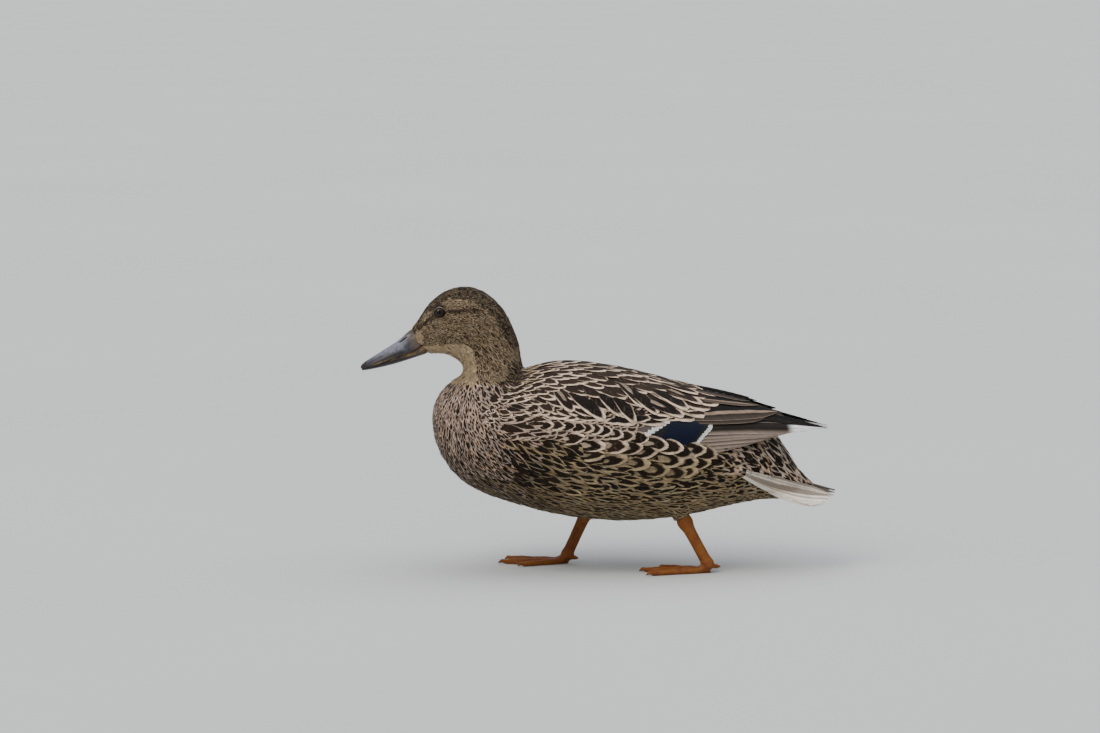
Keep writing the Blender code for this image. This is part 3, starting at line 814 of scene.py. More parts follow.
def bill_material():
    """Slate horn, warm along the mouth and lightly scratched along its length, with a painted highlight along
    the ridge and on the nostrils' rims.
    """
    nodes = Nodes("Bill horn", 0.38, Specular_IOR_Level=0.28)
    place = nodes.place()
    warm = nodes.attribute("warm", "Fac")
    dark = nodes.attribute("dim", "Fac")
    pale = nodes.attribute("bright", "Fac")
    mottle = nodes.noise(place, 240.0, 4.0, 0.6)
    stretched = nodes.tree.nodes.new("ShaderNodeMapping")
    stretched.inputs["Rotation"].default_value = (0, math.radians(35), 0)
    stretched.inputs["Scale"].default_value = (0.12, 1, 1)
    nodes.link(place, stretched.inputs["Vector"])
    grain = nodes.noise(stretched.outputs[0], 900.0, 3.0, 0.6)
    slate = tone("slate")
    base = nodes.mix(nodes.ramp(mottle, 0.3, 0.7), slate * 0.72, slate * 1.18)
    base = nodes.mix(nodes.ramp(grain, 0.55, 0.8, 0.0, 0.5), base, slate * 0.5)
    blotches = nodes.noise(place, 110.0, 3.0, 0.62)
    edge = nodes.mix(nodes.ramp(mottle, 0.35, 0.65), (0.26, 0.155, 0.065), (0.11, 0.072, 0.036))
    base = nodes.mix(warm, base, edge)
    # Painted highlight: pale bluish grey along the front of the ridge and on the nostrils' rims, broken up by
    # the mottle.
    wear_and_highlight = nodes.times(pale, nodes.ramp(mottle, 0.3, 0.6, 0.4, 1.0))
    base = nodes.mix(wear_and_highlight, base, slate * (4.2, 4.2, 4.6))
    base = nodes.mix(nodes.ramp(blotches, 0.50, 0.64, 0.0, 0.62), base, slate * 0.40)
    # Darker on the nail, along the lower half of the upper bill and over the lower bill, and near black as
    # painted shade in the nostrils' holes.
    base = nodes.mix(dark, base, (0.022, 0.015, 0.012))
    rough = nodes.ramp(grain, 0.3, 0.7, 0.32, 0.5)
    return nodes.set(Base_Color=base, Roughness=rough, Normal=nodes.bump(grain, 0.00008, 0.5))


def eye_material():
    """A wet dark brown eye: black pupil, fine rays in the iris and a black border."""
    nodes = Nodes("Eye", 0.07, Specular_IOR_Level=0.22)
    ring = nodes.attribute("ring", "Fac")
    rays = nodes.noise(nodes.joined(nodes.attribute("turn", "Fac"), nodes.times(ring, 0.3)), 9.0, 3.0, 0.6)
    iris = nodes.mix(nodes.ramp(rays, 0.3, 0.7), (0.018, 0.009, 0.005), (0.048, 0.025, 0.013))
    base = nodes.mix(nodes.ramp(ring, 1.75, 2.0), (0.002, 0.002, 0.002), iris)
    base = nodes.mix(nodes.ramp(ring, 3.1, 3.6), base, (0.006, 0.004, 0.003))
    return nodes.set(Base_Color=base)


def claw_material():
    """Dark horn, paler at the root."""
    nodes = Nodes("Claw horn", 0.35, Specular_IOR_Level=0.5)
    grain = nodes.noise(nodes.place(), 700.0, 3.0, 0.6)
    root = nodes.attribute("root", "Fac")
    base = nodes.mix(nodes.ramp(grain, 0.3, 0.7), (0.018, 0.013, 0.010), (0.05, 0.035, 0.025))
    return nodes.set(Base_Color=nodes.mix(nodes.times(root, 0.6), base, (0.20, 0.09, 0.03)))


def floor_material():
    nodes = Nodes("Pale floor", 0.85, Specular_IOR_Level=0.2)
    cloudy = nodes.noise(nodes.place(), 1.5, 3.0, 0.5)
    shade = np.array(bpy.context.scene.mallard_stage.floor[:])
    return nodes.set(Base_Color=nodes.mix(nodes.ramp(cloudy, 0.3, 0.7), shade * 0.97, shade))


# ---------------------------------------------------------------- plumage


# The feathers of one part of the plumage: length, width and distance apart, pale and dark colours
# with a share of each, and the dark mark (half width, middle, half length) as shares of the vane.
Kind = namedtuple("Kind", "length width apart pale dark mark")
KINDS = {
    "crown": Kind(5.6, 1.6, 1.22, ("face", 0.66), ("umber", 1.3), (0.86, 0.50, 0.53)),
    "brow": Kind(4.8, 1.4, 1.08, ("face", 1.14), ("umber", 3.8), (0.54, 0.50, 0.48)),
    "eye_stripe": Kind(4.0, 1.1, 0.90, ("face", 0.42), ("umber", 1.6), (0.86, 0.50, 0.58)),
    "cheek": Kind(5.8, 1.35, 1.10, ("face", 1.02), ("umber", 3.4), (0.66, 0.50, 0.50)),
    "lore": Kind(2.8, 1.2, 0.95, ("face", 1.35), ("umber", 6.0), (0.22, 0.5, 0.34)),
    "throat": Kind(5.2, 1.9, 1.45, ("throat", 1.05), ("throat", 0.72), (0.22, 0.5, 0.36)),
    "neck": Kind(7.6, 1.9, 1.55, ("face", 1.02), ("umber", 2.8), (0.62, 0.50, 0.50)),
    # The base of the hindneck: its own dark streaked feathers, painted darker still as shade where the neck
    # meets the back.
    "nape": Kind(7.0, 2.6, 1.90, ("face", 0.42), ("umber", 1.0), (0.86, 0.45, 0.52)),
    "breast": Kind(11.0, 3.2, 2.45, ("breast", 1.0), ("umber", 1.2), (0.58, 0.55, 0.42)),
    "breast_side": Kind(15.0, 4.4, 3.3, ("breast", 0.88), ("umber", 1.2), (0.66, 0.54, 0.44)),
    "flank": Kind(23.0, 6.4, 4.6, ("buff", 0.85), ("umber", 1.2), (0.64, 0.55, 0.44)),
    "belly": Kind(17.0, 4.6, 3.8, ("buff", 0.80), ("umber", 1.8), (0.46, 0.56, 0.42)),
    "vent": Kind(13.0, 5.0, 3.8, ("buff", 0.72), ("umber", 1.2), (0.50, 0.60, 0.30)),
    "rump": Kind(19.0, 5.8, 4.6, ("fringe", 0.62), ("umber", 1.2), (0.80, 0.40, 0.545)),
    "thigh": Kind(8.0, 3.2, 2.4, ("buff", 0.8), ("umber", 3.0), (0.40, 0.55, 0.34)),
}
KIND_NAMES = tuple(KINDS)


def of_kinds(what, kinds):
    """That field of KINDS, for each of these places in it."""
    return np.array([getattr(kind, what) for kind in KINDS.values()])[kinds]


# Borders between the parts of the plumage, as (x, z).
THROAT_LINE = ((-150, 178), (-138, 180.5), (-122, 182), (-108, 182.5), (-101, 179), (-95, 150))
BELLY_LINE = ((-120, 88), (-80, 78), (-20, 66), (60, 68), (100, 72))
VENT_LINE = ((86, 84), (100, 84), (125, 78), (150, 68), (176, 60))
NAPE_FRONT = ((146, -88), (156, -78), (168, -70), (180, -60))  # as (z, x)
EYE_FRONT = -131  # the eye stripe is broader before the eye than behind it
LORE = (-145, 186.5)  # its middle
THIGH_REACH = (10, 9, 11)  # of the thigh's feathers, round its foot


def kind_weights(points):
    """For each point, how much it belongs to each of KINDS."""
    x, _, z = points.T
    weight = {}
    front = 1 - ramp(x, -64, -58)
    neck_up = front * ramp(z, 151, 158)
    head_up = np.maximum(ramp(z, 178, 186), ramp(-x, 112, 118)) * neck_up
    over = z - along(x, CROWN_LINE)
    crown = ramp(over, -2.2, 2.0) * head_up
    eye_height = z - along(x, EYE_LINE)
    reach = np.where(x < EYE_FRONT, 2.1, 1.15)
    stripe = (1 - ramp(np.abs(eye_height), reach * 0.6, reach * 1.6)) * head_up * ramp(-x, 90, 98)
    brow = ramp(eye_height, 1.0, 3.0) * (1 - crown) * head_up * ramp(-x, 92, 104) * (1 - stripe)
    from_lore = np.hypot(x - LORE[0], (z - LORE[1]) * 0.8)
    lore = (1 - ramp(from_lore, 3.0, 6.0)) * head_up * (1 - stripe)
    throat = (1 - ramp(z - along(x, THROAT_LINE), -2.0, 1.0)) * (1 - ramp(x, -98, -93)) * neck_up
    # The base of the hindneck, darkened partly as painted shade in the crease between neck and back.
    nape = ramp(x - along(z, NAPE_FRONT), -3, 5) * (1 - ramp(z, 160, 172)) * front * ramp(z, 146, 152)
    weight["crown"] = crown
    weight["eye_stripe"] = stripe * np.where(x < EYE_FRONT, 1.3, 3)
    weight["brow"] = brow * 1.5
    weight["lore"] = lore * 4
    weight["throat"] = throat * 14
    weight["nape"] = nape * 4
    weight["cheek"] = head_up * (1 - crown) * 0.6
    weight["neck"] = neck_up * (1 - head_up)
    trunk = 1 - neck_up
    breast = trunk * ramp(-x, 62, 84)
    low = 1 - ramp(z - along(x, BELLY_LINE), -7, 7)
    belly = trunk * low * (1 - ramp(-x, 84, 108)) * (1 - ramp(x, 88, 104))
    tail_end = trunk * ramp(x, 86, 102)
    upper = ramp(z - along(x, VENT_LINE), -3.5, 3.5)
    weight["breast"] = breast * (1 - 0.6 * low)
    weight["breast_side"] = trunk * ramp(-x, 40, 66) * (1 - ramp(-x, 78, 96)) * 0.8
    weight["belly"] = belly * 1.2
    weight["rump"] = tail_end * upper * 1.5
    weight["vent"] = tail_end * (1 - upper) * 1.5
    weight["flank"] = trunk * (1 - ramp(-x, 62, 84)) * (1 - low) * (1 - tail_end)
    thigh = np.zeros(len(points))
    for name in THIGH_NODES:
        foot = centre_of(name)
        foot[2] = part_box(name)[0][2] / MM + 3
        away = np.abs(points - foot) / THIGH_REACH
        thigh = np.maximum(thigh, 1 - ramp(np.linalg.norm(away, axis=1), 0.8, 1.5))
    weight["thigh"] = thigh * 4
    return np.stack([weight[name] for name in KIND_NAMES], 1) + 1e-9


def spacing_of(points):
    """How far apart the coat's feathers stand, finer round the eyes and bill."""
    weight = kind_weights(points)
    apart = np.array([kind.apart for kind in KINDS.values()])
    usual = (weight * apart).sum(1) / weight.sum(1)
    return usual / coat().thickness_of_cover * fineness(points)


BILL_BASE = ((172, -132), (182, -137), (193, -144), (205, -150))  # the end of the face, as (z, x)


def fineness(points):
    """Under 1 near the eyes and the bill, where the feathers are smallest."""
    near = np.full(len(points), 1.0)
    for node in EYE_NODES:
        away = np.linalg.norm(points - centre_of(node), axis=1)
        near = np.minimum(near, 0.62 + 0.38 * ramp(away, 4.5, 14))
    from_bill = points[:, 0] - along(points[:, 2], BILL_BASE)
    return np.minimum(near, 0.66 + 0.34 * ramp(from_bill, -4, 12))


def uneven(rng, spread, *shape):
    """Random factors round 1."""
    return np.exp(rng.normal(0, spread, shape))


def shades(kinds, rng):
    """(pale, dark) colours of feathers of these kinds, each a little different."""
    count = len(kinds)
    pale = np.array([tone(kind.pale[0]) * kind.pale[1] for kind in KINDS.values()])[kinds]
    dark = np.array([tone(kind.dark[0]) * kind.dark[1] for kind in KINDS.values()])[kinds]
    lighter = uneven(rng, 0.16, count, 1)
    warmer = 1 + rng.normal(0, 0.05, (count, 1)) * np.array([[1.0, 0.1, -0.9]])
    return np.clip(pale * lighter * warmer, 0, 1), np.clip(dark * uneven(rng, 0.3, count, 1), 0, 1)


def ground_colour(points):
    """The coat's mean colour at each point, for the skin under it."""
    weight = kind_weights(points)
    means = []
    for kind in KINDS.values():
        (pale, pale_share), (dark, dark_share) = kind.pale, kind.dark
        covered = min(0.9, 1.1 * kind.mark[0])
        means.append(tone(pale) * pale_share * (1 - covered) + tone(dark) * dark_share * covered)
    return (weight[:, :, None] * np.array(means)[None]).sum(1) / weight.sum(1)[:, None]


# ---------------------------------------------------------------- shared forms


BODY_GROW, BODY_VOXEL, BODY_ROUNDS = 0.3, 1.6, 8

made_forms = {}


def form(name):
    """The surfaces that feathers lie on: outer with the wings, inner without them."""
    if name not in made_forms:
        nodes = (*BODY_NODES, "tail") if name == "outer" else (*TRUNK_NODES, "tail", *BILL_NODES)
        made_forms[name] = Surface(remeshed(grown_copy(nodes, BODY_GROW), BODY_VOXEL, BODY_ROUNDS))
    return made_forms[name]


def coat_depth(points):
    """How far the skin lies inside the feathers' tips."""
    x, _, z = points.T
    body, face = coat().coat_depth / MM, coat().face_depth / MM
    head = ramp(z, 168, 184) * (1 - ramp(x, -64, -58))
    front = head * ramp(-x, 118, 136)
    deep = body + (face * 1.7 - body) * head
    return deep + (face * 0.8 - deep) * front


# ---------------------------------------------------------------- skin


WINGS_CUT = 150  # the skin's wings end here, under the long quills
LID_OPENING = 3.55
EYE_RADIUS = 5.6
TOE_HEIGHT = 2.2
FEET = {  # ankle, root of the toes, heading
    "left": (LEFT, (68.4, -27.0, 41.8), (87.6, -25.5), 4),
    "right": (RIGHT, (-9.0, 27.0, 42.4), (-25.4, 25.5), -4),
}
TOES = ((-23, 39), (0, 50), (24, 48))  # turn outwards, length
LEG_GROW, LEG_VOXEL, LEG_ROUNDS = 0.18, 0.75, 4
KNOBS = ((0.5, 4.6), (4.5, 4.9), (8.5, 4.9))  # lift over the ankle, radius
KNOB_LEAN = 0.35
SCUTE_OF_SHANK, SCUTE_OF_TOE = 2.1, 1.9  # from one scute to the next
TOE_HALF_WIDTH = 3.0
LEGS_TOP, TOES_TOP, WEBS_TOP = 56, 7.5, 5  # over the floor
WEB_EDGE = (2.2, 3.4)  # from a toe's middle line
ON_LEG = 0.12


def toe_lines():
    """(start, end) of each front toe, parallel to the floor."""
    lines = []
    for side, _, root, heading in FEET.values():
        for turn, length in TOES:
            angle = math.radians(heading + side * turn)
            start = np.array((root[0], root[1], TOE_HEIGHT))
            lines.append((start, start + length * np.array((-math.cos(angle), math.sin(angle), 0))))
    return lines


def eye_place(node):
    """(centre, side) of an eye."""
    centre = centre_of(node)
    return centre, LEFT if centre[1] < 0 else RIGHT


EYE_SLANT = (0.94, 0.34)  # cosine and sine of the slope of the eye's opening
EYE_OVAL = (1.06, 0.95)  # the opening's length and height, as shares of LID_OPENING
LID_CREST, LID_HALF = 1.13, 0.16  # the middle and half the width of the lid's rim, as shares
LID_ENDS = (1.22, 1.9)  # where the lid runs out into the face
LID_BARE, LID_TINT = 1.28, (1.16, 1.34)  # how far no feathers stand, and where the lid's tint ends
LID_TINT_REACH = 7
LID_TUCK, LID_GAP, LID_RISE = 0.7, 0.10, 0.38  # skin in the opening, lid and rim, from the eyeball
FINE_ROUND_EYE, LID_REACH = 8.5, 9  # where the skin is made finer, and where lids can be


def lid_shape(offset):
    """How far from the eye's axis each of these points lies, as a share of the lids' opening."""
    cosine, sine = EYE_SLANT
    forward = -offset[:, 0] * cosine - offset[:, 2] * sine
    upward = offset[:, 2] * cosine - offset[:, 0] * sine
    return np.hypot(forward / EYE_OVAL[0], upward / EYE_OVAL[1]) / LID_OPENING


def with_lids(mesh):
    """The skin drawn back over each eyeball, with a rounded lid round the opening."""
    whole = bmesh.new()
    whole.from_mesh(mesh)
    for node in EYE_NODES:
        centre = Vector(centre_of(node) * MM)
        middles = {e: (e.verts[0].co + e.verts[1].co) / 2 for e in whole.edges}
        near = [e for e, middle in middles.items() if (middle - centre).length < FINE_ROUND_EYE * MM]
        bmesh.ops.subdivide_edges(whole, edges=near, cuts=3, use_grid_fill=True)
    bmesh.ops.triangulate(whole, faces=[f for f in whole.faces if len(f.verts) > 4])
    whole.to_mesh(mesh)
    whole.free()
    points, _ = points_of(mesh)
    for node in EYE_NODES:
        centre, side = eye_place(node)
        offset = points - centre
        out = offset[:, 1] * side
        share = lid_shape(offset)
        radial = np.hypot(offset[:, 0], offset[:, 2])
        near = (out > 0) & (radial < LID_REACH)
        ball = np.sqrt(np.maximum(EYE_RADIUS**2 - radial**2, 0.0))
        rim = 1 - np.abs(np.clip((share - LID_CREST) / LID_HALF, -1, 1)) ** 2
        lid = np.where(share < 1.0, ball - LID_TUCK, ball + LID_GAP + LID_RISE * rim)
        hold = 1 - ramp(share, *LID_ENDS)
        moved = out * (1 - hold) + lid * hold
        points[near, 1] = centre[1] + side * moved[near]
    set_points(mesh, points)
    return mesh


def leg_mesh(name):
    """One shank and foot, with a knob that reaches up into the thigh."""
    x, y, z = FEET[name][1]
    whole = grown_copy((f"shank_{name}", f"foot_{name}"), LEG_GROW)
    for lift, radius in KNOBS:
        knob = Vector(np.array((x - lift * KNOB_LEAN, y, z + lift)) * MM)
        bmesh.ops.create_icosphere(whole, subdivisions=3, radius=radius * MM, matrix=Matrix.Translation(knob))
    return remeshed(whole, LEG_VOXEL, LEG_ROUNDS)


def union(mesh, other):
    """A mesh of both, joined with no seam."""
    objects = [linked("part", data) for data in (mesh, other)]
    join = objects[0].modifiers.new("join", "BOOLEAN")
    join.operation = "UNION"
    join.solver = "MANIFOLD"
    join.object = objects[1]
    made = applied(objects[0])
    for obj in objects:
        bpy.data.objects.remove(obj)
    return made


def leg_marks(points, leg_tree):
    """(leg, scute, web): whether a point is on a leg, where it lies among the scutes, and whether
    it is on a web."""
    count = len(points)
    leg, scute, web = np.zeros(count), np.zeros(count), np.zeros(count)
    for i in np.nonzero(points[:, 2] < LEGS_TOP)[0]:
        leg[i] = leg_tree.find_nearest(Vector(points[i]))[3] < ON_LEG
    on_leg = leg > 0
    scute[on_leg] = points[on_leg, 2] / SCUTE_OF_SHANK
    apart = np.full(count, 99.0)
    for start, end in toe_lines():
        length = np.linalg.norm(end - start)
        line = (end - start) / length
        offset = (points - start) * (1, 1, 0)
        reach = offset @ line
        aside = np.linalg.norm(np.cross(offset, line), axis=1)
        near = on_leg & (points[:, 2] < TOES_TOP) & (aside < TOE_HALF_WIDTH) & (reach > -TOE_HALF_WIDTH)
        scute[near] = reach[near] / SCUTE_OF_TOE
        foot = np.clip(reach, 0, length + 2 * TOE_HALF_WIDTH)[:, None] * line
        apart = np.minimum(apart, np.linalg.norm(offset - foot, axis=1))
    web[on_leg] = (ramp(apart, *WEB_EDGE) * (points[:, 2] < WEBS_TOP))[on_leg]
    return leg, scute, web


def smooth_with(mesh, **fields):
    """Gives the mesh these numbers at its points, and smooth faces."""
    for name, values in fields.items():
        values = np.asarray(values, np.float32)
        kind = "FLOAT_COLOR" if values.ndim == 2 else "FLOAT"
        layer = mesh.attributes.new(name, kind, "POINT")
        if values.ndim == 2:
            values = np.concatenate([values, np.ones((len(values), 1), np.float32)], 1)
        layer.data.foreach_set("color" if values.ndim == 2 else "value", values.ravel())
    mesh.polygons.foreach_set("use_smooth", np.ones(len(mesh.polygons), bool))
    mesh.update()


class MALLARD_OT_skin(bpy.types.Operator):
    """One skin for trunk, neck, head, wings, legs and webbed feet, with lids round the eyes"""

    bl_idname = "mallard.skin"
    bl_label = "Skin"

    def execute(self, context):
        whole = grown_copy((*BODY_NODES, *EYE_NODES), BODY_GROW, cut_x=WINGS_CUT)
        body = remeshed(whole, BODY_VOXEL, BODY_ROUNDS)
        points, normals = points_of(body)
        set_points(body, points - normals * (coat_depth(points) + BODY_GROW)[:, None])
        body = with_lids(body)
        legs = [leg_mesh(name) for name in FEET]
        trees = bmesh.new()
        for leg in legs:
            trees.from_mesh(leg)
            body = union(body, leg)
        bmesh.ops.scale(trees, vec=(1 / MM,) * 3, verts=trees.verts)
        leg_tree = BVHTree.FromBMesh(trees)
        trees.free()
        points, _ = points_of(body)
        leg, scute, web = leg_marks(points, leg_tree)
        lid = np.zeros(len(points))
        for node in EYE_NODES:
            centre, side = eye_place(node)
            offset = points - centre
            share = lid_shape(offset)
            near = (offset[:, 1] * side > 0) & (np.linalg.norm(offset, axis=1) < LID_TINT_REACH)
            lid = np.maximum(lid, np.where(near, 1 - ramp(share, *LID_TINT), 0))
        smooth_with(body, ground=ground_colour(points), leg=leg, scute=scute, web=web, lid=lid)
        body.validate()
        placed("skin", body, skin_material(), (*BODY_NODES, *LEG_NODES))
        return {"FINISHED"}


# ---------------------------------------------------------------- coat


COAT_PIECES = {
    "head": ("crown", "brow", "eye_stripe", "cheek", "lore", "throat"),
    "neck": ("neck", "nape"),
    "breast": ("breast", "breast_side"),
    "flank": ("flank",),
    "belly": ("belly", "thigh"),
    "rear": ("vent", "rump"),
}


def coat_piece(kinds, points):
    """The name of the coat piece that each feather belongs to."""
    part_of = {kind: part for part, members in COAT_PIECES.items() for kind in members}
    return np.array([
        f"coat_{part_of[KIND_NAMES[kind]]}_{WORD[LEFT if y < 0 else RIGHT]}"
        for kind, y in zip(kinds, points[:, 1])])


TAIL_ROOT = (105.0, 87.6)  # where the fan opens, (x, z)
TAIL_REACH, TAIL_SHORTER = 85.0, 14.0  # of the middle quills, and how much less the outer ones have
TAIL_SPREAD = math.radians(26)
TAIL_FALL, TAIL_DROOP = 0.295, 13.5  # the fan's slope, and how far its sides hang
# The lower edge of the tail's coverts, (x, z).
COVERTS_END = ((108, 84), (120, 76.5), (134, 75), (150, 72.5), (165, 66.5), (190, 57))


def fan_height(reach, share):
    """The height of the tail's fan at a distance from its root and a share of its half angle."""
    across = np.sin(math.pi / 2 * np.clip(np.abs(share), 0, 1)) ** 1.5
    droop = TAIL_DROOP * across * np.sin(math.pi * reach / (1.3 * TAIL_REACH))
    return TAIL_ROOT[1] - TAIL_FALL * reach - droop


def on_wedge(points):
    """True where the outer tail feathers lie along the side of the rump, below the coverts."""
    x, y, z = points.T
    reach = (x - TAIL_ROOT[0]) / math.cos(TAIL_SPREAD)
    return (x > 116) & (z > fan_height(reach, 1) - 1.5) & (z < along(x, COVERTS_END) + 2.5) & (np.abs(y) > 3)


# The front of the face's feathers, as (z, how far before the foot of the bill they reach).
LOBE_LINE = ((170, -0.5), (176, 0.0), (180.6, 0.1), (183.2, 1.4), (187.3, 1.7), (191, 0.8), (194, 0.2))
BACK_LINE = ((-60, 140), (-40, 134), (80, 134), (95, 120))  # the lower edge of the bare back, (x, z)
RUMP_LINE = ((86, 84), (125, 76), (176, 60))
COAT_END = 168
UNDER_WING = 4.5  # deeper than this below the form with wings, the coat is hidden


def uncovered(points):
    """False where the wings or the feathers of the back hide the coat."""
    hidden = np.zeros(len(points), bool)
    tree = form("outer").tree
    for i, place in enumerate(points.tolist()):
        hidden[i] = tree.find_nearest(place)[3] > UNDER_WING
    x, _, z = points.T
    cape = (x > -52) & (x < 92) & (z > along(x, BACK_LINE))
    on_bill = (before_foot(points) > along(z, LOBE_LINE)) & (z > 166)
    return ~hidden & ~cape & ~on_bill & ~on_wedge(points) & (x < COAT_END)


def clear_of_eyes(points):
    clear = np.ones(len(points), bool)
    for node in EYE_NODES:
        centre, side = eye_place(node)
        offset = points - centre
        clear &= ~((offset[:, 1] * side > 0) & (lid_shape(offset) < LID_BARE))
    return clear


def lie_of_coat(points):
    """The way each feather points: the body's lie, raised over the brow and cheek, turned round
    the eyes, and falling on the breast and rump."""
    way = lie(points)
    x, _, z = points.T
    brow_turn = ramp(-x, 118, 136) * ramp(z, 186, 200) * (1 - ramp(z, 212, 222))
    way = unit(way + brow_turn[:, None] * np.array((0.25, 0, 0.25)))
    cheek_turn = ramp(-x, 96, 120) * (1 - ramp(z, 188, 202)) * ramp(z, 172, 178)
    way = unit(way + cheek_turn[:, None] * np.array((0.35, 0, -0.12)))
    for node in EYE_NODES:
        centre, eye_side = eye_place(node)
        offset = points - centre
        away = np.linalg.norm(offset, axis=1)
        near = (1 - ramp(away, 5.5, 9.5)) * (offset[:, 1] * eye_side > 0)
        outward = unit(offset * (1, 0.1, 1))
        against = np.minimum((outward * way).sum(1), 0)[:, None]
        way = unit(way - near[:, None] * outward * against * 1.6)
    breast_fall = ramp(-x, 92, 112) * (1 - ramp(z, 160, 174)) * ramp(z, 84, 104)
    way = unit(way + breast_fall[:, None] * np.array((-0.15, 0, -1.0)))
    rump_fall = ramp(x, 100, 128) * ramp(z - along(x, RUMP_LINE), 0, 14)
    way = unit(way - rump_fall[:, None] * UP * 0.5)
    flank_rise = ramp(x, -70, -20) * (1 - ramp(x, 60, 100)) * ramp(z, 66, 90) * 0.06
    return unit(way + flank_rise[:, None] * UP)


TUFT_PATCH = 0.003  # the side of each small feather's patch on OFBake
SPREAD_ALONG = 1.75  # how much farther apart the feathers stand along their lie
ROOT_BACK = 0.45  # how far a feather's root lies behind its place, as a share of its length
LOW_BREAST_SHADE = (0.36, 0.15)  # under the breast and the front of the flank: painted shade, as a share taken off the pale colour, and the dark marks made wider, as the feathers there are more streaked


class MALLARD_OT_coat(bpy.types.Operator):
    """The small feathers of head, neck, breast, flanks, belly and rump, in pieces of like feathers"""

    bl_idname = "mallard.coat"
    bl_label = "Small feathers"

    def execute(self, context):
        rng = np.random.default_rng(coat().seed)
        surface = form("inner")
        plan, names = self.planned(surface, rng)
        material = contour_material("Contour feathers", tucked_shade=0.2)
        for name in sorted(set(names)):
            chosen = np.nonzero(names == name)[0]
            part = SimpleNamespace(**{key: value[chosen] for key, value in vars(plan).items()})
            small = "head" in name or "neck" in name
            grid = vane_grid(5, 5) if small else vane_grid(6, 7)
            points = laid(part, grid, surface, rng)
            vanes(name, part, points, grid, material, TUFT_PATCH, patch_places(part, TUFT_PATCH))
        return {"FINISHED"}

    def planned(self, surface, rng):
        """(plan, the piece that each feather belongs to)."""
        root = scattered(surface, spacing_of, lie_of_coat, SPREAD_ALONG, rng)
        root = root[uncovered(root) & clear_of_eyes(root)]
        weight = kind_weights(root) ** 1.5
        chance = np.cumsum(weight / weight.sum(1, keepdims=True), axis=1)
        kinds = (rng.random((len(root), 1)) > chance).sum(1).clip(0, len(KIND_NAMES) - 1)
        count = len(root)
        size = fineness(root) * uneven(rng, 0.10, count)
        length = of_kinds("length", kinds) * size
        width = of_kinds("width", kinds) * size * uneven(rng, 0.08, count)
        pale, dark = shades(kinds, rng)
        mark = of_kinds("mark", kinds) * np.exp(rng.normal(0, 1, (count, 3)) * (0.30, 0.08, 0.18))
        inner = inner_of(rng, count)
        # Painted shade on the lower breast and the front of the flank: their pale colour darkened, with wider
        # dark streaks that are the feathers' own.
        darker = (1 - ramp(root[:, 2], 76, 126)) * ramp(-root[:, 0], 10, 60)
        pale *= 1 - LOW_BREAST_SHADE[0] * darker[:, None]
        mark[:, 0] *= 1 + LOW_BREAST_SHADE[1] * darker
        _, normal = surface.nearest(root)
        way = lie_of_coat(root)
        way = way + np.cross(normal, way) * rng.normal(0, 0.10, (count, 1))
        deep = coat_depth(root)
        tip_lift = rng.normal(0.0, 0.10, count) * deep
        by_bill = (1 - ramp(-before_foot(root), -1.0, 3.0)) * (root[:, 2] > 170)
        names = coat_piece(kinds, root)
        root = root - unit(way) * (length * ROOT_BACK * (1 - 0.8 * by_bill))[:, None]
        plan = plan_of(
            root, way, length=length, width=width, pale=pale,
            lift=np.stack([-deep * 0.85 * (1 - by_bill), tip_lift + 0.4 * by_bill], 1),
            dark=dark, mark=mark, inner=inner, ragged=0.16, turn=rng.normal(0, 0.12, count),
            roundness=2.3, camber=0.12, roll=0.03)
        return plan, names


# ---------------------------------------------------------------- cape


# By x: how long the feathers are, how far down they reach, and the height where they begin.
CAPE_LENGTH = ((-100, 9), (-84, 12), (-66, 17), (-40, 24), (-10, 30), (30, 36), (70, 40), (110, 44))
CAPE_EDGE = ((-104, 118), (-90, 124), (-50, 130), (0, 127), (30, 128), (60, 130), (80, 132), (120, 136))
CAPE_FRONT = ((-104, 117), (-93, 134), (-75, 149), (-60, 162))
CAPE_START, RIDGE_START, CAPE_END = -98.0, -56, 96  # x, where its rows begin, reach the ridge and end
CAPE_ROW, CAPE_COLUMN = 0.33, 0.25  # from feather to feather, down and along, as shares of a length
TERTIALS_AT = 106  # where only the ridge still bears the cape's feathers


def walk_down(surface, x, side, lowest):
    """Points 1 mm apart down the side of the body at x, from the ridge or the cape's front line."""
    if x < RIDGE_START:
        spot = surface.seen(x, along(x, CAPE_FRONT), side)
    else:
        spot = np.array(surface.tree.ray_cast(Vector((x, side * 0.5, 300)), Vector((0, 0, -1)))[0])
    course = np.array((0.0, side, -0.05))
    points = [spot]
    while spot[2] > lowest and len(points) < 150:
        _, normal = surface.nearest(spot[None])
        normal = unit(normal[0] * (0.0, 1.0, 1.0))
        course = unit(course - normal * (course @ normal))
        spot = surface.nearest((spot + course)[None])[0][0]
        spot[0] = x
        points.append(spot)
    return np.array(points)


def cape_rows(surface, side, rng):
    """(roots, share of the way down, length) of the mantle's and scapulars' feathers."""
    roots, shares, lengths = [], [], []
    x, turn = CAPE_START, 0
    while x < CAPE_END:
        length = along(x, CAPE_LENGTH)
        points = walk_down(surface, x, side, along(x, CAPE_EDGE) + 4)
        row = length * CAPE_ROW
        reach = (turn % 2) * 0.5 * row + (row * 0.35 if x > RIDGE_START else 0)
        while reach < len(points) - 1:
            roots.append(points[int(reach)])
            shares.append(reach / max(len(points), 60))
            lengths.append(length)
            reach += row * math.exp(rng.normal(0, 0.05))
        x += length * CAPE_COLUMN
        turn += 1
    roots, shares, lengths = np.array(roots), np.array(shares), np.array(lengths)
    keep = (roots[:, 0] + 0.9 * lengths < TERTIALS_AT) | (shares < 0.10)
    return roots[keep], shares[keep], lengths[keep]


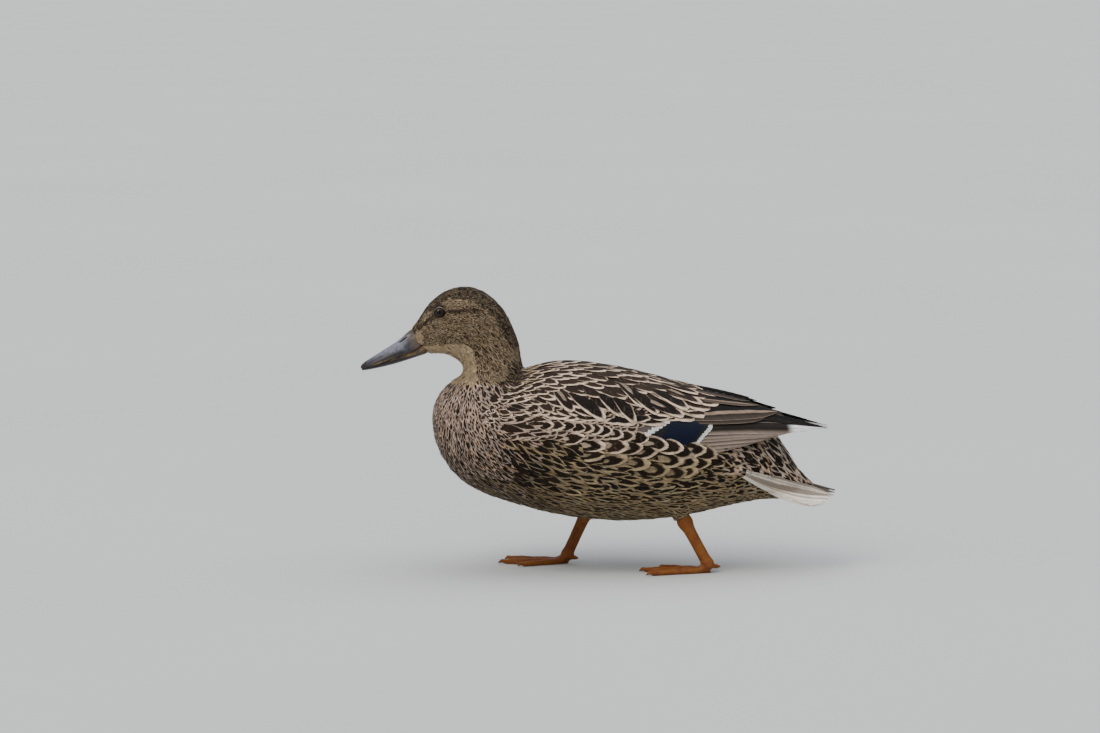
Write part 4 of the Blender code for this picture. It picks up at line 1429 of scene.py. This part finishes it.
SCAPULARS = (  # root and tip as (x, height seen), width, share of mantle tone: least for the lower ones, partly for their own darker centres and partly as painted shade
    ((62, 149), (101, 139.4), 12.5, 0.8),
    ((42, 152.5), (79, 141.4), 12.5, 0.7),
    ((36, 148), (71, 130.2), 13.0, 0.35),
    ((46, 148), (81.5, 134.4), 11.5, 0.8),
    ((30, 139), (67, 125.4), 12.5, 0.25),
    ((-2, 145), (19, 125.0), 12.5, 0.3),
    ((9, 145), (29.7, 119.8), 12.0, 0.25),
    ((18, 150), (47.5, 126.6), 12.5, 0.4),
    ((14, 152), (37, 131.2), 11.5, 0.5),
    ((-22, 143), (5.2, 122.2), 11.5, 0.3),
    ((-26, 146), (-2.0, 126.0), 11.0, 0.4),
    ((-36, 146), (-19.3, 127.6), 10.5, 0.5),
)


ROUND_THE_BODY = 1.03  # how much longer the way round the body is than the straight one
AIMS, STEPS = 3, 12


def seen_plan(surface, table, side):
    """(roots, ways, lengths) of feathers given by root and tip as a look from the side sees them.
    Each is aimed so that it ends at its tip when it follows the surface."""
    root = np.array([surface.seen(*row[0], side) for row in table])
    tip = np.array([surface.seen(*row[1], side) for row in table])
    length = np.linalg.norm(tip - root, axis=1) * ROUND_THE_BODY
    way = unit(tip - root)
    for _ in range(AIMS):
        way = unit(way + (tip - walked(surface, root, way, length)) / length[:, None])
    return root, way, length


def walked(surface, root, way, length):
    """Where walks of these lengths along the surface end."""
    spot, normal = surface.nearest(root)
    for _ in range(STEPS):
        way = unit(way - normal * dot(way, normal))
        spot, normal = surface.nearest(spot + way * length[:, None] / STEPS)
    return spot


class MALLARD_OT_cape(bpy.types.Operator):
    """The mantle and scapulars: overlapping rows of dark feathers with crisp pale fringes"""

    bl_idname = "mallard.cape"
    bl_label = "Mantle and scapulars"

    def execute(self, context):
        surface = form("outer")
        material = contour_material(
            "Fringed back feathers", 16.0, 0.00016, wander=0.13, skew=0.22, soft=0.18, tucked_shade=0.62)
        grid = vane_grid(9, 13)
        for side in SIDES:
            rng = np.random.default_rng(coat().seed + 10 + side)
            root, share, length = cape_rows(surface, side, rng)
            count = len(root)
            x = root[:, 0]
            fall = np.radians(6 + 40 * np.clip(share, 0, 1) ** 0.9 * (1 - 0.45 * ramp(x, 30, 90)))
            room = root[:, 2] - along(x + length * 0.85, CAPE_EDGE)
            fall = np.minimum(fall, np.arcsin(np.clip(room / length, 0.04, 0.9)))
            fall = fall + rng.normal(0, 0.05, count)
            way = np.stack([np.cos(fall), side * np.sin(fall) * 0.35, -np.sin(fall)], 1)
            # The lower feathers of the cape's front are darker: partly their own darker centres, partly
            # painted shade.
            low = ramp(share, 0.45, 0.9) * ramp(x, -50, -10)
            dark = tone("mantle") * uneven(rng, 0.22, count, 1) * (1 - 0.66 * low[:, None])
            pale = tone("fringe") * uneven(rng, 0.12, count, 1)
            grow = ramp(x, -80, -10)
            mark = np.stack([0.88 + 0.06 * grow, np.full(count, 0.30), 0.645 + 0.035 * grow], 1)
            mark *= uneven(rng, 0.04, count, 3)
            patched = rng.random(count) < 0.30 * grow
            inner = inner_of(rng, count, patched * rng.uniform(0.2, 0.45, count),
                             rng.uniform(0.3, 0.5, count))
            rows = plan_of(
                root, way, length=length * uneven(rng, 0.06, count), width=length * 0.46,
                lift=np.stack([np.full(count, -1.5), 0.15 + 0.15 * rng.normal(0, 1, count)], 1),
                pale=pale, dark=dark, mark=mark, inner=inner, ragged=0.03,
                turn=rng.normal(-0.08, 0.08, count), roundness=2.2, tip=0.26, camber=0.06, roll=0.10)
            root, way, length = seen_plan(surface, SCAPULARS, side)
            count = len(root)
            inner = inner_of(rng, count, (rng.random(count) < 0.5) * 0.34, 0.42)
            chosen = plan_of(
                root, way, length=length, width=column(SCAPULARS, 2), lift=(-0.8, 1.0), pale=tone("fringe"),
                dark=tone("mantle") * column(SCAPULARS, 3)[:, None], mark=(0.92, 0.32, 0.655), inner=inner,
                ragged=0.02, turn=-0.15, roundness=3.4, tip=0.36, camber=0.05, roll=0.12)
            grown(f"cape_{WORD[side]}", merged([rows, chosen]), grid, surface, rng, material,
                  0.04, 0.042)
        return {"FINISHED"}


# ---------------------------------------------------------------- wing


def fan(first, last, count):
    """count rows of (root, tip) evenly from the first pair to the last."""
    share = np.linspace(0, 1, count)[:, None, None]
    return np.array(first) * (1 - share) + np.array(last) * share


COVERT_ROW, COVERT_STEP = 3.2, 6.2  # from feather to feather, down and along
COVERTS_END_AT = ((106, 11), (125, 33))  # the last of each row of small coverts, as (height seen, x)
# First and last feather, each by root and tip as (x, height seen), and how many.
SPECULUM = (((42, 133), (88.6, 114.6)), ((27, 108.8), (77, 102.2)), 9)
GREATER_COVERTS = (((37, 130), (62.8, 123.6)), ((14, 115.5), (39.4, 108.6)), 9)
PRIMARIES = (  # root, tip, width, tone, start of the dark tip, whether the lower vane's end is painted near white as a glint of reflected light
    ((62, 93), (112, 99.4), 8.5, 1.35, 1.2, 0.0),
    ((64, 96), (126, 102.4), 8.5, 1.45, 1.2, 0.0),
    ((66, 99), (138, 105.4), 9.0, 1.35, 1.2, 0.0),
    ((68, 102), (148, 108.0), 9.0, 1.4, 1.2, 0.0),
    ((70, 105), (158, 110.4), 9.0, 1.2, 1.1, 0.0),
    ((72, 108), (170, 111.6), 9.5, 1.2, 1.0, 0.0),
    ((76, 112), (183.5, 113.4), 10.5, 1.1, 1.3, 1.0),
    # The last three lie above the glinting one: their own dusky tips, painted nearly black as well for the
    # shade that they lie in.
    ((82, 127), (183.5, 118.4), 3.8, 0.25, 0.50, 0.0),
    ((86, 130), (177, 121.0), 5.2, 0.22, 0.45, 0.0),
    ((90, 131.5), (168, 123.4), 6.5, 0.22, 0.45, 0.0),
)
TERTIALS = (  # root, tip, width, tone, start of the dark tip, place and half width of the stripe
    ((76, 121), (131, 121.5), 13.0, 0.27, 1.4, 0.0, 0.0),
    ((72, 125.5), (142, 129.8), 21.0, 0.27, 1.4, 0.24, 0.14),
    ((80, 138), (127, 134.4), 14.0, 0.34, 1.4, 0.50, 0.07),
    ((78, 144), (121, 139.0), 14.0, 0.30, 1.4, 0.0, 0.0),
)


class MALLARD_OT_wing(bpy.types.Operator):
    """The folded wing: small coverts, greater coverts with a white bar, the blue patch, the long
    quills and the tertials over them"""

    bl_idname = "mallard.wing"
    bl_label = "Wing feathers"

    def execute(self, context):
        surface = form("outer")
        covert = contour_material(
            "Wing coverts", 12.0, 0.00015, wander=0.16, skew=0.3, soft=0.2, tucked_shade=0.55)
        grey = tone("quill") * 0.6
        white, black, blue = (0.62, 0.60, 0.56), (0.010, 0.009, 0.010), tone("blue")
        barred = banded_material("Barred coverts", ((0, grey), (0.74, white), (0.945, black)), 0.6)
        patch = banded_material(
            "Blue patch", ((0, black), (0.40, blue), (0.87, black), (0.935, white)), 0.45, 0.14)
        quill = quill_material("Flight quills")
        for side in SIDES:
            rng = np.random.default_rng(coat().seed + 20 + side)
            self.small_coverts(surface, side, rng, covert)
            for name, (first, last, count), width, lift, material in (
                ("speculum", SPECULUM, 8.5, (-1.6, -0.5), patch),
                ("greater_coverts", GREATER_COVERTS, 9.0, (-1.7, -0.4), barred),
            ):
                root, way, length = seen_plan(surface, fan(first, last, count), side)
                plan = plan_of(
                    root, way, length=length, width=width, lift=lift, roll=0.10, camber=0.03,
                    inner=inner_of(rng, count, long=0.0), ragged=0.012, roundness=5.0, tip=0.55, stem=0.7)
                grown(f"{name}_{WORD[side]}", plan, vane_grid(7, 17), surface, rng, material,
                      0.10, 0.11)
            self.quills(surface, side, rng, quill)
        return {"FINISHED"}

    def small_coverts(self, surface, side, rng, material):
        table = []
        for row, height in enumerate(np.arange(130.0, 106.0, -COVERT_ROW)):
            end = along(height, COVERTS_END_AT)
            first = end - COVERT_STEP * (15 - 0.5 * (row % 2))
            for x in np.arange(first, end + 1, COVERT_STEP):
                table.append(((x, height + 1.4), (x + 12.5, height - 1.0)))
        root, way, length = seen_plan(surface, table, side)
        count = len(root)
        inner = inner_of(rng, count)
        dark = tone("mantle") * (0.95, 1.0, 0.9) * uneven(rng, 0.2, count, 1)
        plan = plan_of(
            root, way, length=length * uneven(rng, 0.06, count), width=7.4, lift=(-1.6, 0.1), dark=dark,
            pale=tone("fringe") * 0.6, mark=(0.84, 0.30, 0.63), inner=inner, ragged=0.05, roll=0.08,
            camber=0.06, turn=rng.normal(0, 0.1, count))
        grown(f"coverts_{WORD[side]}", plan, vane_grid(7, 9), surface, rng, material,
              0.03, 0.04)

    def quills(self, surface, side, rng, material):
        root, way, length = seen_plan(surface, PRIMARIES, side)
        count = len(root)
        glinting = column(PRIMARIES, 5)
        primaries = plan_of(
            root, way, length=length, width=column(PRIMARIES, 2), lift=(-1.6, -0.6),
            inner=inner_of(rng, count, column(PRIMARIES, 4), glinting),
            dark=tone("quill") * column(PRIMARIES, 3)[:, None], pale=(0.24, 0.20, 0.17),
            mark=(0.0, 0.0, 0.03), ragged=0.004, roll=0.09, camber=0.03, roundness=3.2, tip=0.12, stem=0.8)
        primaries.lift += np.linspace(0, 0.5, count)[:, None]
        # The glinting quill's pale is near white: a painted glint of light reflected off its lower vane.
        primaries.pale[glinting > 0] = (0.94, 0.92, 0.89)
        root, way, length = seen_plan(surface, TERTIALS, side)
        count = len(root)
        stripe = np.stack([column(TERTIALS, 5), column(TERTIALS, 6), np.full(count, 0.055)], 1)
        tertials = plan_of(
            root, way, length=length, width=column(TERTIALS, 2), lift=(-0.6, 0.5),
            inner=inner_of(rng, count, column(TERTIALS, 4), 0.0),
            dark=tone("quill") * column(TERTIALS, 3)[:, None], pale=(0.30, 0.21, 0.145), mark=stripe,
            ragged=0.004, roll=0.06, camber=0.04, roundness=2.8, tip=0.12, stem=0.7)
        tertials.lift += np.linspace(0, 0.8, count)[:, None]
        grown(f"quills_{WORD[side]}", merged([primaries, tertials]), vane_grid(11, 25), surface, rng,
              material, 0.16, 0.19)


# ---------------------------------------------------------------- flanks


FLANK_TIPS = (  # tip as (x, height seen), length, width
    (-36, 116, 17, 8), (-27, 115.5, 17, 8.5), (-19, 114.6, 17, 8.5), (-11, 113.6, 16, 8.5),
    (-4, 112.6, 16, 9), (3, 111.8, 16, 9), (10, 110.6, 17, 9.5), (19, 109, 18, 9.5),
    (28, 106.8, 20, 10), (39, 104.6, 22, 11), (54, 100.4, 26, 13), (66, 98.6, 26, 13),
    (75, 96.0, 27, 14), (84, 96.6, 27, 13), (94, 93.6, 26, 13),
    (23, 99.5, 26, 13), (34, 98, 24, 12), (46, 94.5, 24, 12), (65.5, 88, 26, 14), (78, 87.5, 26, 14),
    (88, 86, 24, 12), (55.5, 81, 26, 14), (69, 78, 24, 13), (78, 79, 22, 12), (5, 101, 26, 11),
    (-12, 104, 26, 10), (40, 85, 26, 12), (22, 88, 27, 11), (4, 91, 27, 10),
)
SHOULDER = (  # root and tip as (x, height seen) of the breast's long feathers over the wing's bend
    ((-86, 117), (-58, 111)), ((-80, 112), (-50, 108)), ((-70, 112), (-38, 108)), ((-74, 116), (-42, 112)),
    ((-88, 122.5), (-56, 117)), ((-84, 119), (-48, 114.5)), ((-74, 120.5), (-40, 115.5)),
    ((-72, 124), (-40, 119)), ((-86, 127), (-54, 121)), ((-84, 130.5), (-52, 124)),
    ((-76, 128.5), (-46, 122.5)), ((-88, 133), (-60, 127)), ((-92, 129), (-68, 123)),
    ((-92, 124), (-66, 118)), ((-82, 134), (-56, 128.5)), ((-74, 132), (-48, 126.5)),
)


class MALLARD_OT_flanks(bpy.types.Operator):
    """The bold feathers of the flank that lie over the wing's lower edge, and those of its bend"""

    bl_idname = "mallard.flanks"
    bl_label = "Flank feathers"

    def execute(self, context):
        surface = form("outer")
        material = contour_material(
            "Bold flank feathers", 14.0, 0.00016, wander=0.22, skew=0.3, soft=0.22, tucked_shade=0.5)
        grid = vane_grid(9, 13)
        for side in SIDES:
            rng = np.random.default_rng(coat().seed + 30 + side)
            table = []
            for x, height, length, _ in FLANK_TIPS:
                fall = math.radians(rng.normal(4, 4))
                table.append(((x - length * math.cos(fall), height + length * math.sin(fall)), (x, height)))
            root, way, length = seen_plan(surface, table, side)
            count = len(root)
            low = 1 - ramp(column(FLANK_TIPS, 1), 84, 104)
            inner = inner_of(rng, count, rng.uniform(0.20, 0.46, count) * (1 + 0.4 * low),
                             rng.uniform(0.26, 0.40, count))
            pale = tone("fringe") * 0.95 * (1 - low[:, None]) + tone("buff") * 0.95 * low[:, None]
            pale = pale * uneven(rng, 0.14, count, 1)
            mark = np.stack([0.86 - 0.10 * low, np.full(count, 0.36), 0.59 - 0.05 * low], 1)
            mark = mark * uneven(rng, 0.05, count, 3)
            plan = plan_of(
                root, way, length=length, width=column(FLANK_TIPS, 3), lift=(-2.0, 0.9), pale=pale,
                dark=tone("umber") * np.exp(rng.normal(0.5, 0.3, (count, 1))), mark=mark, inner=inner,
                ragged=0.05, roll=0.05, camber=0.10, roundness=2.4, tip=0.28, turn=rng.normal(0, 0.12, count))
            grown(f"flank_feathers_{WORD[side]}", plan, grid, surface, rng, material,
                  0.07, 0.08)
            root, way, length = seen_plan(surface, SHOULDER, side)
            count = len(root)
            inner = inner_of(rng, count)
            plan = plan_of(
                root, way, length=length, width=8.6 * uneven(rng, 0.08, count), lift=(-3.0, 0.5),
                pale=tone("breast") * uneven(rng, 0.12, count, 1),
                dark=tone("umber") * np.exp(rng.normal(0.9, 0.3, (count, 1))), mark=(0.66, 0.56, 0.40),
                inner=inner, ragged=0.06, roll=0.05, camber=0.12, roundness=2.0, tip=0.2,
                turn=rng.normal(0, 0.1, count))
            grown(f"shoulder_feathers_{WORD[side]}", plan, grid, surface, rng, material,
                  0.07, 0.08)
        return {"FINISHED"}


# ---------------------------------------------------------------- tail


QUILLS = 18
TAIL_GROUND, TAIL_RIMS = (0.52, 0.425, 0.335), ((0.50, 0.42, 0.33), (0.86, 0.78, 0.68))
MIDDLE_QUILLS = 0.22  # the share of the fan that lies on top of the rump
QUILL_START, QUILL_HALF_WIDTH = 12.0, 7.4
QUILL_SHAPE = (2.6, 0.16, 0.7)  # roundness, tip and stem
FAN_LIFT, FAN_ARCH = 1.0, 1.9  # the middle quills' height over the fan, and how far the outer ones drop
QUILL_ARCH, QUILL_TILT = 0.35, 0.45  # the middle of a quill is raised, and its inner side lowered


class MALLARD_OT_tail(bpy.types.Operator):
    """The fan of tail feathers, darkest in the middle and whitish at the sides"""

    bl_idname = "mallard.tail"
    bl_label = "Tail feathers"

    def execute(self, context):
        rng = np.random.default_rng(coat().seed + 40)
        surface = form("inner")
        place = np.linspace(-1, 1, QUILLS) * 0.96
        place = place[np.argsort(-np.abs(place))]
        count = len(place)
        grid = vane_grid(9, 25)
        across, length, _ = grid
        angle = place * TAIL_SPREAD
        reach = TAIL_REACH - TAIL_SHORTER * np.abs(place) ** 2.6
        wide = half_width(length, *QUILL_SHAPE)
        far = QUILL_START + (reach - QUILL_START)[:, None] * length[None]
        out = across[None] * wide[None] * QUILL_HALF_WIDTH
        x = TAIL_ROOT[0] + far * np.cos(angle)[:, None] - out * np.sin(angle)[:, None]
        y = far * np.sin(angle)[:, None] + out * np.cos(angle)[:, None]
        from_root = np.hypot(x - TAIL_ROOT[0], y)
        z = fan_height(from_root, np.arctan2(y, x - TAIL_ROOT[0]) / TAIL_SPREAD)
        inward = -np.sign(place)[:, None] * across[None]
        z = z + FAN_LIFT - FAN_ARCH * np.abs(place)[:, None]
        z = z + QUILL_ARCH * (1 - across[None] ** 2) - QUILL_TILT * inward
        points = np.stack([x, y, z], -1)
        self.round_the_rump(points, place, surface)
        root = points[:, len(across) // 2]
        outer = ramp(np.abs(place), 0.12, 0.5)[:, None]
        dark = tone("quill") * 0.42 * (1 - outer) + np.array(TAIL_GROUND) * outer
        dark *= uneven(rng, 0.10, count, 1)
        pale = np.array(TAIL_RIMS[0]) * (1 - outer) + np.array(TAIL_RIMS[1]) * outer
        inside_rim = 0.22 * (1 - outer) + 0.38 * np.sign(place)[:, None] * outer
        stripe = np.concatenate([inside_rim, 0.10 + 0.43 * outer, 0.06 * (1 - outer)], 1)
        plan = plan_of(root, np.tile((1.0, 0, 0), (count, 1)), dark=dark, pale=pale, mark=stripe, side=-1)
        plan.inner = inner_of(rng, count, 1.4, 0.0)
        material = quill_material("Tail quills", 0.55, (1.0, 1.0))
        vanes("tail_feathers", plan, points, grid, material, 0.20, atlas_places(count, 0.22),
              ("tail",))
        return {"FINISHED"}

    def round_the_rump(self, points, place, surface):
        """Moves the outer feathers out to lie on the side of the rump where they would be inside it."""
        for row, share in enumerate(place):
            if abs(share) < MIDDLE_QUILLS:
                continue
            side = np.sign(share)
            proud = 1.5 - 1.1 * abs(share)
            for spot in points[row]:
                outside = Vector((spot[0], side * 90, spot[2]))
                hit = surface.tree.ray_cast(outside, Vector((0, -side, 0)))[0]
                if hit is not None and hit[1] * side > 0:
                    spot[1] = side * max(spot[1] * side, hit[1] * side + proud)


# ---------------------------------------------------------------- bill, eyes, claws


MOUTH_LINE = ((-190, 161.5), (-183.5, 163.3), (-173.3, 167.3), (-164, 169.9), (-153, 172.8), (-145.7, 175),
              (-136, 182))
WARM_REACH = ((-186, 0.5), (-172, 0.8), (-150, 1.5), (-140, 2.2))  # either side of the mouth, at x
NAIL_ENDS = (-186.5, -183.0)
NAIL_LIFT = 0.25
NOSTRIL = (-156.2, 183.4)
NOSTRIL_SIZE = (4.1, 1.25)  # half length, half height
NOSTRIL_REACH = 8
NOSTRIL_DEPTH, NOSTRIL_RIM = 1.5, 0.22
BILL_COURSE = (-0.821, 0.0, -0.570)


def with_nostrils(mesh, points, normals):
    """(points, how far each is in a nostril, how far on a nostril's rim) of the upper bill, both
    nostrils pressed in and rimmed."""
    surface = Surface(mesh)
    holes, rims = np.zeros(len(points)), np.zeros(len(points))
    for side in SIDES:
        spot = surface.seen(*NOSTRIL, side)
        normal = surface.nearest(spot[None])[1][0]
        course = np.array(BILL_COURSE)
        course = unit(course - normal * (course @ normal))
        beside = np.cross(normal, course)
        offset = points - spot
        oval = np.hypot((offset @ course) / NOSTRIL_SIZE[0], (offset @ beside) / NOSTRIL_SIZE[1])
        close = np.linalg.norm(offset, axis=1) < NOSTRIL_REACH
        hole = np.where(close, 1 - ramp(oval, 0.55, 1.1), 0)
        rim = np.where(close, ramp(oval, 0.9, 1.2) * (1 - ramp(oval, 1.4, 2.2)), 0)
        points = points - normal * (NOSTRIL_DEPTH * hole)[:, None] + normals * (NOSTRIL_RIM * rim)[:, None]
        holes = np.maximum(holes, hole)
        rims = np.maximum(rims, rim)
    return points, holes, rims


class MALLARD_OT_bill(bpy.types.Operator):
    """The upper and lower bill, with nostrils, a nail and a warm edge along the mouth"""

    bl_idname = "mallard.bill"
    bl_label = "Bill"

    def execute(self, context):
        material = bill_material()
        for node in BILL_NODES:
            mesh = remeshed(grown_copy((node,), 0.1, tuck=3.5), 0.5, 5)
            points, normals = points_of(mesh)
            x, _, z = points.T
            over_mouth = np.abs(z - along(x, MOUTH_LINE))
            nail = 1 - ramp(x, *NAIL_ENDS)
            reach = along(x, WARM_REACH)
            warm = (1 - ramp(over_mouth, reach * 0.6, reach * 1.5)) * ramp(x, -188, -174)
            base = 1 - ramp(before_foot(points), 1.0, 12.0)
            warm = np.maximum(warm, 0.46 * base)
            dim = nail * 0.9
            bright = np.zeros(len(points))
            if node == "bill_lower":
                dim = np.maximum(dim, 0.72 * (1 - warm) * (1 - 0.5 * base))
            else:
                low_band = (1 - ramp(over_mouth, 2.2, 6.0)) * (1 - warm)
                dim = np.maximum(dim, 0.62 * low_band)
                # Painted highlight along the top of the upper bill's front half.
                bright = 0.75 * ramp(z - along(x, MOUTH_LINE), 3.5, 8.0) * (1 - ramp(x, -162, -150))
                points, hole, rim = with_nostrils(mesh, points, normals)
                # The nostrils' holes are painted near black, as painted shade in their recesses.
                dim = np.maximum(dim, hole)
                # Painted highlight on the nostrils' rims, and none in their holes.
                bright = np.maximum(bright, rim * 0.9) * (1 - hole)
                points = points + normals * (NAIL_LIFT * nail)[:, None]
            set_points(mesh, points)
            smooth_with(mesh, warm=warm, dim=dim, bright=bright)
            placed(node.replace("bill_", "bill_horn_"), mesh, material, (node,))
        return {"FINISHED"}


CORNEA_BULGE, CORNEA_RADIUS = 0.30, 3.6
BEHIND = 9.0  # the ring of the eye's hidden half, past those of pupil and iris
IRIS_RAYS = 9


class MALLARD_OT_eyes(bpy.types.Operator):
    """Both eyeballs, each with a raised cornea, facing out through the lids"""

    bl_idname = "mallard.eyes"
    bl_label = "Eyes"

    def execute(self, context):
        material = eye_material()
        for node in EYE_NODES:
            centre, side = eye_place(node)
            ball = bmesh.new()
            bmesh.ops.create_uvsphere(ball, u_segments=64, v_segments=48, radius=EYE_RADIUS * MM)
            quarter = Matrix.Rotation(side * math.radians(-90), 3, "X")
            bmesh.ops.rotate(ball, cent=(0, 0, 0), matrix=quarter, verts=ball.verts)
            mesh = mesh_of(ball, node)
            points, _ = points_of(mesh)
            ring = np.hypot(points[:, 0], points[:, 2])
            facing = points[:, 1] * side > 0
            bulge = np.where(facing, CORNEA_BULGE * np.maximum(1 - (ring / CORNEA_RADIUS) ** 2, 0), 0)
            turn = np.arctan2(points[:, 2], points[:, 0])
            ring = np.where(facing, ring, BEHIND)
            points[:, 1] += side * bulge
            set_points(mesh, points + centre)
            smooth_with(mesh, ring=ring, turn=np.cos(turn * IRIS_RAYS) + 2)
            placed(f"eyeball_{WORD[side]}", mesh, material, (node,))
        return {"FINISHED"}


CLAW_ROOT, CLAW_TIP, CLAW_LENGTH = 1.75, 0.4, 6.6
CLAW_AHEAD = 2.1  # how far the claw's middle lies past the end of the toe
CLAW_RISE, CLAW_FALL = 0.9, 2.0  # how it curves up from the toe and down to its tip
CLAW_CLEARANCE = 0.15  # over the floor


class MALLARD_OT_claws(bpy.types.Operator):
    """The short dark claws at the ends of the front toes"""

    bl_idname = "mallard.claws"
    bl_label = "Claws"

    def execute(self, context):
        whole = bmesh.new()
        for start, end in toe_lines():
            course = Vector(end - start).normalized()
            made = bmesh.ops.create_cone(
                whole, cap_ends=True, segments=16, radius1=CLAW_ROOT * MM, radius2=CLAW_TIP * MM,
                depth=CLAW_LENGTH * MM)
            turned = course.to_track_quat("Z", "Y").to_matrix()
            bmesh.ops.rotate(whole, cent=(0, 0, 0), matrix=turned, verts=made["verts"])
            bmesh.ops.translate(whole, vec=(Vector(end) + course * CLAW_AHEAD) * MM, verts=made["verts"])
        long = [e for e in whole.edges if e.calc_length() > 4 * MM]
        bmesh.ops.subdivide_edges(whole, edges=long, cuts=6, use_grid_fill=True)
        mesh = mesh_of(whole, "claws")
        points, _ = points_of(mesh)
        root = np.zeros(len(points))
        for start, end in toe_lines():
            course = unit(end - start)
            offset = points - end
            near = np.linalg.norm(offset, axis=1) < 8
            share = np.clip((offset @ course + CLAW_LENGTH / 2 - CLAW_AHEAD) / CLAW_LENGTH, 0, 1)
            points[near, 2] += (CLAW_RISE * share - CLAW_FALL * share**2)[near]
            root[near] = 1 - ramp(share[near], 0.0, 0.35)
        points[:, 2] = np.maximum(points[:, 2], CLAW_CLEARANCE)
        set_points(mesh, points)
        smooth_with(mesh, root=root)
        placed("claws", mesh, claw_material())
        return {"FINISHED"}


# ---------------------------------------------------------------- stage


FLOOR_RADIUS = 60  # metres, as everything on the stage
LOOKED_AT = (-0.0388, 0, 0.1629)
SKY, SKY_STRENGTH = (0.80, 0.88, 1.0), 0.45
LIGHTS = (  # name, place, spread in degrees, power, colour
    ("key", (-1.3, -1.7, 2.4), 38, 1.9, (1.0, 0.97, 0.92)),
    ("top", (0.5, 0.3, 2.8), 80, 2.1, (0.95, 0.97, 1.0)),
)


def aimed(name, data, place, target):
    """A lamp or camera at place that looks at target."""
    obj = linked(name, data)
    obj.location = place
    obj.rotation_euler = (target - obj.location).to_track_quat("-Z", "Y").to_euler()
    return obj


class MALLARD_OT_stage(bpy.types.Operator):
    """A pale floor, soft studio light and the camera"""

    bl_idname = "mallard.stage"
    bl_label = "Stage"

    def execute(self, context):
        settings = context.scene.mallard_stage
        floor = bmesh.new()
        bmesh.ops.create_circle(floor, cap_ends=True, segments=96, radius=FLOOR_RADIUS)
        mesh = mesh_of(floor, "floor")
        obj = linked("floor", mesh)
        mesh.materials.append(floor_material())
        world = bpy.data.worlds.new("Studio")
        world.use_nodes = True
        background = world.node_tree.nodes["Background"]
        background.inputs["Color"].default_value = (*SKY, 1)
        background.inputs["Strength"].default_value = SKY_STRENGTH
        context.scene.world = world
        target = Vector(LOOKED_AT)
        for name, place, spread, power, shade in LIGHTS:
            light = bpy.data.lights.new(name, "SUN")
            light.angle = math.radians(spread)
            light.energy = power
            light.color = shade
            aimed(name, light, place, target)
        lens = bpy.data.cameras.new("camera")
        lens.sensor_width = 36
        lens.lens = settings.focal
        lens.clip_end = 100
        back = Vector((0, -math.cos(VIEW_RISE), math.sin(VIEW_RISE))) * settings.distance
        context.scene.camera = aimed("camera", lens, target + back, target)
        return {"FINISHED"}


# ---------------------------------------------------------------- add-on


PIECES = (
    MALLARD_OT_stage, MALLARD_OT_skin, MALLARD_OT_coat, MALLARD_OT_cape, MALLARD_OT_wing, MALLARD_OT_flanks,
    MALLARD_OT_tail, MALLARD_OT_bill, MALLARD_OT_eyes, MALLARD_OT_claws,
)


class MALLARD_PT_panel(bpy.types.Panel):
    """Lists the pieces of the duck and the settings that they read"""

    bl_label = "Mallard"
    bl_idname = "MALLARD_PT_panel"
    bl_space_type = "VIEW_3D"
    bl_region_type = "UI"
    bl_category = "Mallard"

    def draw(self, context):
        column = self.layout.column()
        for piece in PIECES:
            column.operator(piece.bl_idname)
        for group in GROUPS:
            settings = getattr(context.scene, group)
            box = self.layout.box()
            for name in settings.__annotations__:
                box.prop(settings, name)


GROUPS = {"mallard_coat": MallardCoat, "mallard_colours": MallardColours, "mallard_stage": MallardStage}
CLASSES = (*GROUPS.values(), *PIECES, MALLARD_PT_panel)


def register():
    for cls in CLASSES:
        bpy.utils.register_class(cls)
    for name, group in GROUPS.items():
        setattr(bpy.types.Scene, name, PointerProperty(type=group))


def unregister():
    for name in GROUPS:
        delattr(bpy.types.Scene, name)
    for cls in reversed(CLASSES):
        bpy.utils.unregister_class(cls)


def main():
    register()
    for piece in PIECES:
        group, name = piece.bl_idname.split(".")
        getattr(getattr(bpy.ops, group), name)()


if __name__ == "__main__":
    main()
